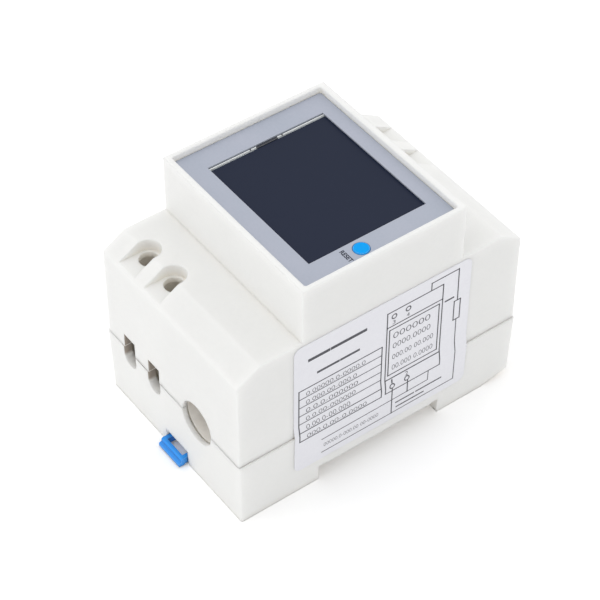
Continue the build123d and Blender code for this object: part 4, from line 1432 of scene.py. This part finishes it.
@dataclass
class Studio:
    """Pale floor, soft lamps and a white surround.

    Attributes:
        floor_half: Half the side of the floor, in metres.
        floor_finish: What the floor is finished with.
        surround: Strength of the surround as a light.
        lamps: The lamps, from the one over the meter round to the back.
    """

    floor_half: float = 3.0
    floor_finish: StudioFloor = StudioFloor(Colour(250, 250, 250))
    surround: float = 0.88
    lamps: tuple[Lamp, ...] = (
        Lamp("key_lamp", (-0.3, -0.6, 1.45), 0.8, 3.2),
        Lamp("front_lamp", (-0.3, -1.3, 0.2), 0.6, 1.1),
        Lamp("back_lamp", (-0.3, 1.2, 0.8), 0.7, 1.7),
    )

    def make(self) -> list[str]:
        """Builds the floor, the surround and the lamps.

        Returns:
            A line for each of them.
        """
        low, high = cad_box
        target = (Vector(low) + Vector(high)) / 2
        return [self._floor(Vector(low).z), self._surround(), *(lamp.make(target) for lamp in self.lamps)]

    def _floor(self, level: float) -> str:
        """Lays the floor under the feet of the meter.

        Args:
            level: Height of the feet, in metres.

        Returns:
            A line that says what was made.
        """
        half = self.floor_half
        corners = [(-half, -half, level), (half, -half, level), (half, half, level), (-half, half, level)]
        mesh = bpy.data.meshes.new("floor")
        mesh.from_pydata(corners, [], [(0, 1, 2, 3)])
        mesh.materials.append(self.floor_finish.material("floor"))
        floor = bpy.data.objects.new("floor", mesh)
        bpy.context.scene.collection.objects.link(floor)
        return "floor: pale, keeps the shadow"

    def _surround(self) -> str:
        """Makes the surround white to the eye and softer as a light.

        Returns:
            A line that says what was made.
        """
        world = bpy.data.worlds.new("surround")
        world.use_nodes = True
        bench = Bench(world.node_tree)
        light = bench.add("ShaderNodeBackground", {"Color": WHITE, "Strength": self.surround})
        white = bench.add("ShaderNodeBackground", {"Color": WHITE, "Strength": 1.0})
        mixed = bench.as_seen(light.outputs[0], white.outputs[0])
        bench.add("ShaderNodeOutputWorld", {"Surface": mixed})
        bpy.context.scene.world = world
        bpy.context.scene.view_settings.view_transform = "Standard"
        return f"surround: {self.surround:g}"


@dataclass
class PhotoCamera:
    """A camera that looks from where the photograph was taken.

    Attributes:
        focal_pixels: Focal length in pixels of the frame.
        azimuth: Turn round Z, in degrees, with 0 looking along +Y.
        elevation: Height angle, in degrees.
        roll: Turn about the line of sight, in degrees.
        distance: Distance to the target, in millimetres.
        shift: Target's offset to the right and up in the frame, in millimetres.
        target_z: Height of the unshifted target, in millimetres.
        frame_pixels: Width of the frame, in pixels.
        sensor: Width of the sensor, in millimetres.
        clip_start: Nearest distance that is seen, in millimetres.
    """

    focal_pixels: float = 2157.05
    azimuth: float = 53.433
    elevation: float = 45.572
    roll: float = 0.251
    distance: float = 503.846
    shift: Point = (-2.835, -2.09)
    target_z: float = 25.7
    frame_pixels: int = 600
    sensor: float = 36.0
    clip_start: float = 10.0

    def make(self) -> list[str]:
        """Places the camera.

        Returns:
            A line that says what was made.
        """
        turn, rise, roll = (math.radians(angle) for angle in (self.azimuth, self.elevation, self.roll))
        back = Vector((math.sin(turn) * math.cos(rise), -math.cos(turn) * math.cos(rise), math.sin(rise)))
        flat_right = Vector((math.cos(turn), math.sin(turn), 0.0))
        flat_up = back.cross(flat_right)
        right = flat_right * math.cos(roll) + flat_up * math.sin(roll)
        up = flat_up * math.cos(roll) - flat_right * math.sin(roll)
        target = Vector((0.0, 0.0, self.target_z)) + right * self.shift[0] + up * self.shift[1]
        data = bpy.data.cameras.new("photo_camera")
        data.sensor_width = self.sensor
        data.lens = self.focal_pixels * self.sensor / self.frame_pixels
        data.clip_start = self.clip_start * MM
        camera = bpy.data.objects.new("photo_camera", data)
        pose = Matrix((right, up, back)).transposed().to_4x4()
        camera.matrix_world = Matrix.Translation((target + back * self.distance) * MM) @ pose
        bpy.context.scene.collection.objects.link(camera)
        bpy.context.scene.camera = camera
        return [f"photo_camera: {data.lens:.1f} mm"]


def main() -> None:
    """Builds the camera, the studio and every sub-assembly, and logs each piece."""
    logging.basicConfig(level=logging.INFO, format="%(name)s %(message)s")
    assemblies = [
        PhotoCamera(),
        Studio(),
        Housing(),
        FrontPanel(),
        Display(),
        SideLabel(),
        RailClip(),
        *(TerminalClamp(number) for number in range(1, TERMINALS + 1)),
        CurrentTransformer(),
        Boards(),
    ]
    for assembly in assemblies:
        for line in assembly.make():
            log.info(line)


if __name__ == "__main__":
    main()
